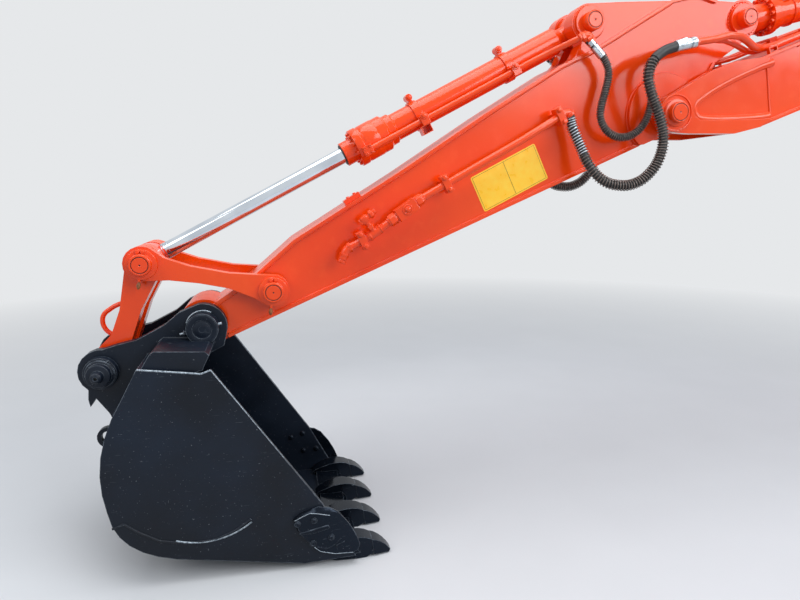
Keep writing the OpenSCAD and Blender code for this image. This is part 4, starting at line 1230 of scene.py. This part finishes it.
# %% Elbow at the cylinder's foot
foot_elbow = [near_nose(x, -204, z) for x, z in ((-520, 326), (-498, 337), (-483, 343), (-472, 341),
                                                 (-460, 331), (-445, 314))]
elbow("foot_elbow", foot_elbow, 0.0180)
both_sides(ARM, hexagon(39, 17, 3), near_nose(-509, -204, 331), (0.86, 0, 0.5), LEFT)
both_sides(ARM, block(34, 34, 34, 8), near_nose(-489, -204, 326), (0.2, 0, 1), (1, 0, 0))
both_sides(ARM, hexagon(42, 18, 3), near_nose(-475, -204, 333), (0.70, 0, -0.71), LEFT)
both_sides(("arm", "zinc"), crimped(20.0, 64, 98), near_nose(-394, -204, 254), (-0.734, 0, 0.679))

# %% [markdown]
# A yellow vinyl plate is stuck to the arm's left side. It is left blank: only its thin dark border and its
# middle line are there, both a little proud of the film.

# %% Yellow plate
PLATE_CORNERS = [(-1061, 110), (-696, 137), (-687, -49), (-1053, -71)]
INSET_U, INSET_V = 0.022, 0.040


def film_point(u, v, y=-136.0):
    """A place on the film: u from the bucket's end to the nose's end, v from its top to its bottom."""
    top = Vector(PLATE_CORNERS[0]).lerp(Vector(PLATE_CORNERS[1]), u)
    low = Vector(PLATE_CORNERS[3]).lerp(Vector(PLATE_CORNERS[2]), u)
    spot = top.lerp(low, v)
    return on_arm(spot.x, y, spot.y)


film_bm = bmesh.new()
film_bm.faces.new([film_bm.verts.new(film_point(u, v, -135.05))
                   for u, v in ((0, 0), (1, 0), (1, 1), (0, 1))])
bevelled(film_bm, film_bm.verts[:], 10, 5, "VERTICES")
pulled(film_bm, film_bm.faces[:], leftward(0.9))
own_piece(gathered("yellow_plate_film", [as_shape(film_bm)]), yellow_film, "arm")
near_u, far_u, near_v, far_v = INSET_U, 1 - INSET_U, INSET_V, 1 - INSET_V
border = [film_point(u, v) for u, v in
          ((near_u, near_v), (far_u, near_v), (far_u, far_v), (near_u, far_v), (near_u, near_v))]
centre_line = [film_point(0.5, near_v), film_point(0.5, far_v)]
hang(swept("yellow_plate_border", [border, centre_line], 0.0009, sides=6), black_seals_print_and_shade, "arm")

# %% [markdown]
# The grease block on the arm's top has two short plugs.

# %% Plugs on the grease block
TOP_CORNER = ARM_TOP[2]
TOP_WAY = (0.988, 0.151)
arm_up = (on_arm(0, 0, 1) - NOSE).normalized()
for reach in (316, 352):
    spot = on_arm(TOP_CORNER[0] + TOP_WAY[0] * reach, -100, TOP_CORNER[1] + TOP_WAY[1] * reach)
    put(ARM, hexagon(14, 7), spot + arm_up * 0.0235, arm_up)

# %% [markdown]
# The link's lifting eye is a bent round bar, welded to the back of the link. It replaces the CAD plate.

# %% Lifting eye
EYE_LINE = [(-340, 66), (-372, 84), (-400, 77), (-432, 58), (-456, 38), (-466, 12), (-459, -28),
            (-437, -54), (-410, -66), (-380, -60)]
eye = swept("link_lifting_eye", [smooth_line([near_bucket(x, 0, z) for x, z in EYE_LINE], 0.006)], 0.0110,
            sides=18)
hang(eye, enamel, "bucket_link")
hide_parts("bucket_link_eye")

# %% [markdown]
# The round plates that carry the nose pin are flame-cut to the arm's own lower edge. The CAD plates are
# whole discs, so a copy of the arm loses its discs' faces, and plates with the right edge take their
# place. A plate is two rings of points, one at the edge and one at the bore, bridged and extruded.

# %% Plates round the nose pin
PLATE_RADIUS = 200
PLATE_BORE = 42
PLATE_FOOT, PLATE_TOP = 135, 157
HIDDEN_REACH = 105
DISC_REACH, DISC_FOOT = 0.2005, 0.13499
# Where the edge is straight: from and to in degrees, then c, a and b of its line a*x + b*z = c.
STRAIGHT_EDGES = [(-30, 6, 24241, 143.5, -213), (-133.7, -100, 7339.6, -12.4, -68.8),
                  (-153, -133.7, 91.3, 0, -1)]


def plate_reach(turn):
    """How far the plate reaches from the pin in a direction, in degrees from the arm's axis."""
    turn = (turn + 180) % 360 - 180
    if -100 <= turn < -30:
        return HIDDEN_REACH
    for start, end, c, a, b in STRAIGHT_EDGES:
        if start <= turn < end:
            reach = c / (a * math.cos(math.radians(turn)) + b * math.sin(math.radians(turn)))
            return min(PLATE_RADIUS, reach)
    return PLATE_RADIUS


plates = []
for side in SIDES:
    bm = bmesh.new()
    rings = []
    for reach in (plate_reach, lambda turn: PLATE_BORE):
        edge = [(reach(a) * math.cos(math.radians(a)), reach(a) * math.sin(math.radians(a)))
                for a in range(0, 360, 5)]
        rings += side_ring(bm, on_arm, edge, side * PLATE_FOOT)
    bridged = bmesh.ops.bridge_loops(bm, edges=rings)["faces"]
    pulled(bm, bridged, (0, side * (PLATE_TOP - PLATE_FOOT) / 1000, 0))
    plates.append(as_shape(bm))
own_piece(gathered("nose_pin_plates", plates), enamel, "arm")


def on_a_disc(face):
    """Whether a face of the arm belongs to one of its two discs."""
    spots = [v.co for v in face.verts]
    return (all((spot - NOSE).xz.length < DISC_REACH for spot in spots)
            and any(all(side * spot.y > DISC_FOOT for spot in spots) for side in SIDES))


steel_bm = bmesh.new()
steel_bm.from_mesh(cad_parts["arm"].data)
bmesh.ops.remove_doubles(steel_bm, verts=steel_bm.verts, dist=MERGE_DISTANCE)
disc_faces = [face for face in steel_bm.faces if on_a_disc(face)]
bmesh.ops.delete(steel_bm, geom=disc_faces, context="FACES")
arm_steel = placed("arm_steelwork", mesh_of("arm_steelwork", steel_bm))
arm_steel.modifiers.new("joined_and_smooth", "NODES").node_group = shaded
hang(arm_steel, enamel, "arm")
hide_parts("arm")
print("faces of the two discs left out:", len(disc_faces))

# %% [markdown]
# Each group of hardware becomes one piece: its copies are already in place, so its object stays at the
# origin. Each set of beads becomes one piece too. The bare-steel arc on the bucket pin's boss is a painted
# highlight.

# %% Groups become pieces
FINISHES = {"enamel": (enamel, "orange_paint"), "black": (chassis_black, "black_paint"),
            "tooth": (tooth_black, "black_paint"), "worn": (bare_steel_and_highlight, "plated_steel"),
            "zinc": (zinc, "plated_steel"), "seal": (black_seals_print_and_shade, "black_paint"),
            "grease": (grease, "orange_paint"), "enamel_ring": (bare_steel_and_highlight, "plated_steel"),
            "pin": (chassis_black, "black_paint"), "fitting": (enamel, "orange_paint")}
STANDS_FOR = {("bucket", "pin"): "bucket_link_pins", ("arm", "fitting"): "arm_pipe_fittings"}
for (body, finish), bm in groups.items():
    mesh = mesh_of(f"{body}_{finish}_hardware", bm)
    piece = own_piece(mesh, FINISHES[finish][0], body)
    if (body, finish) in STANDS_FOR:
        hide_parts(STANDS_FOR[body, finish])
    print(piece.name, len(mesh.polygons), "faces")
for number, ((body, finish, radius), lines) in enumerate(bead_lines.items()):
    piece = swept(f"{body}_{finish}_weld_{number}", lines, radius, sides=8,
                  swell=lambda i: RIPPLES[i % len(RIPPLES)])
    hang(piece, FINISHES[finish][0], body)
    print(piece.name, len(piece.data.polygons), "faces")

# %% [markdown]
# Each hose takes the place of its CAD hose. Its rubber and sleeve get the hose rubber, its dark guard the
# lacquered wire, and its bright stretch zinc, a painted highlight. Then the places of its pieces are baked
# into their meshes. The two turning places listed with each hose were chosen so that the hoses bend
# smoothly at the arm's far limit; nothing here uses them.

# %% Hoses in place of the CAD hoses
for kind, side, hose_piece, pieces, line in hose_sets:
    hose = HOSES[kind]
    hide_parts(f"{kind}_hose_{SIDE_NAMES[side]}")
    for piece in [hose_piece] + pieces:
        finish = guard_wire if "guard" in piece.name else rubber
        # the bright guard is drawn in zinc: a painted highlight
        piece.data.materials.append(zinc if "bright" in piece.name else finish)
        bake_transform(piece)
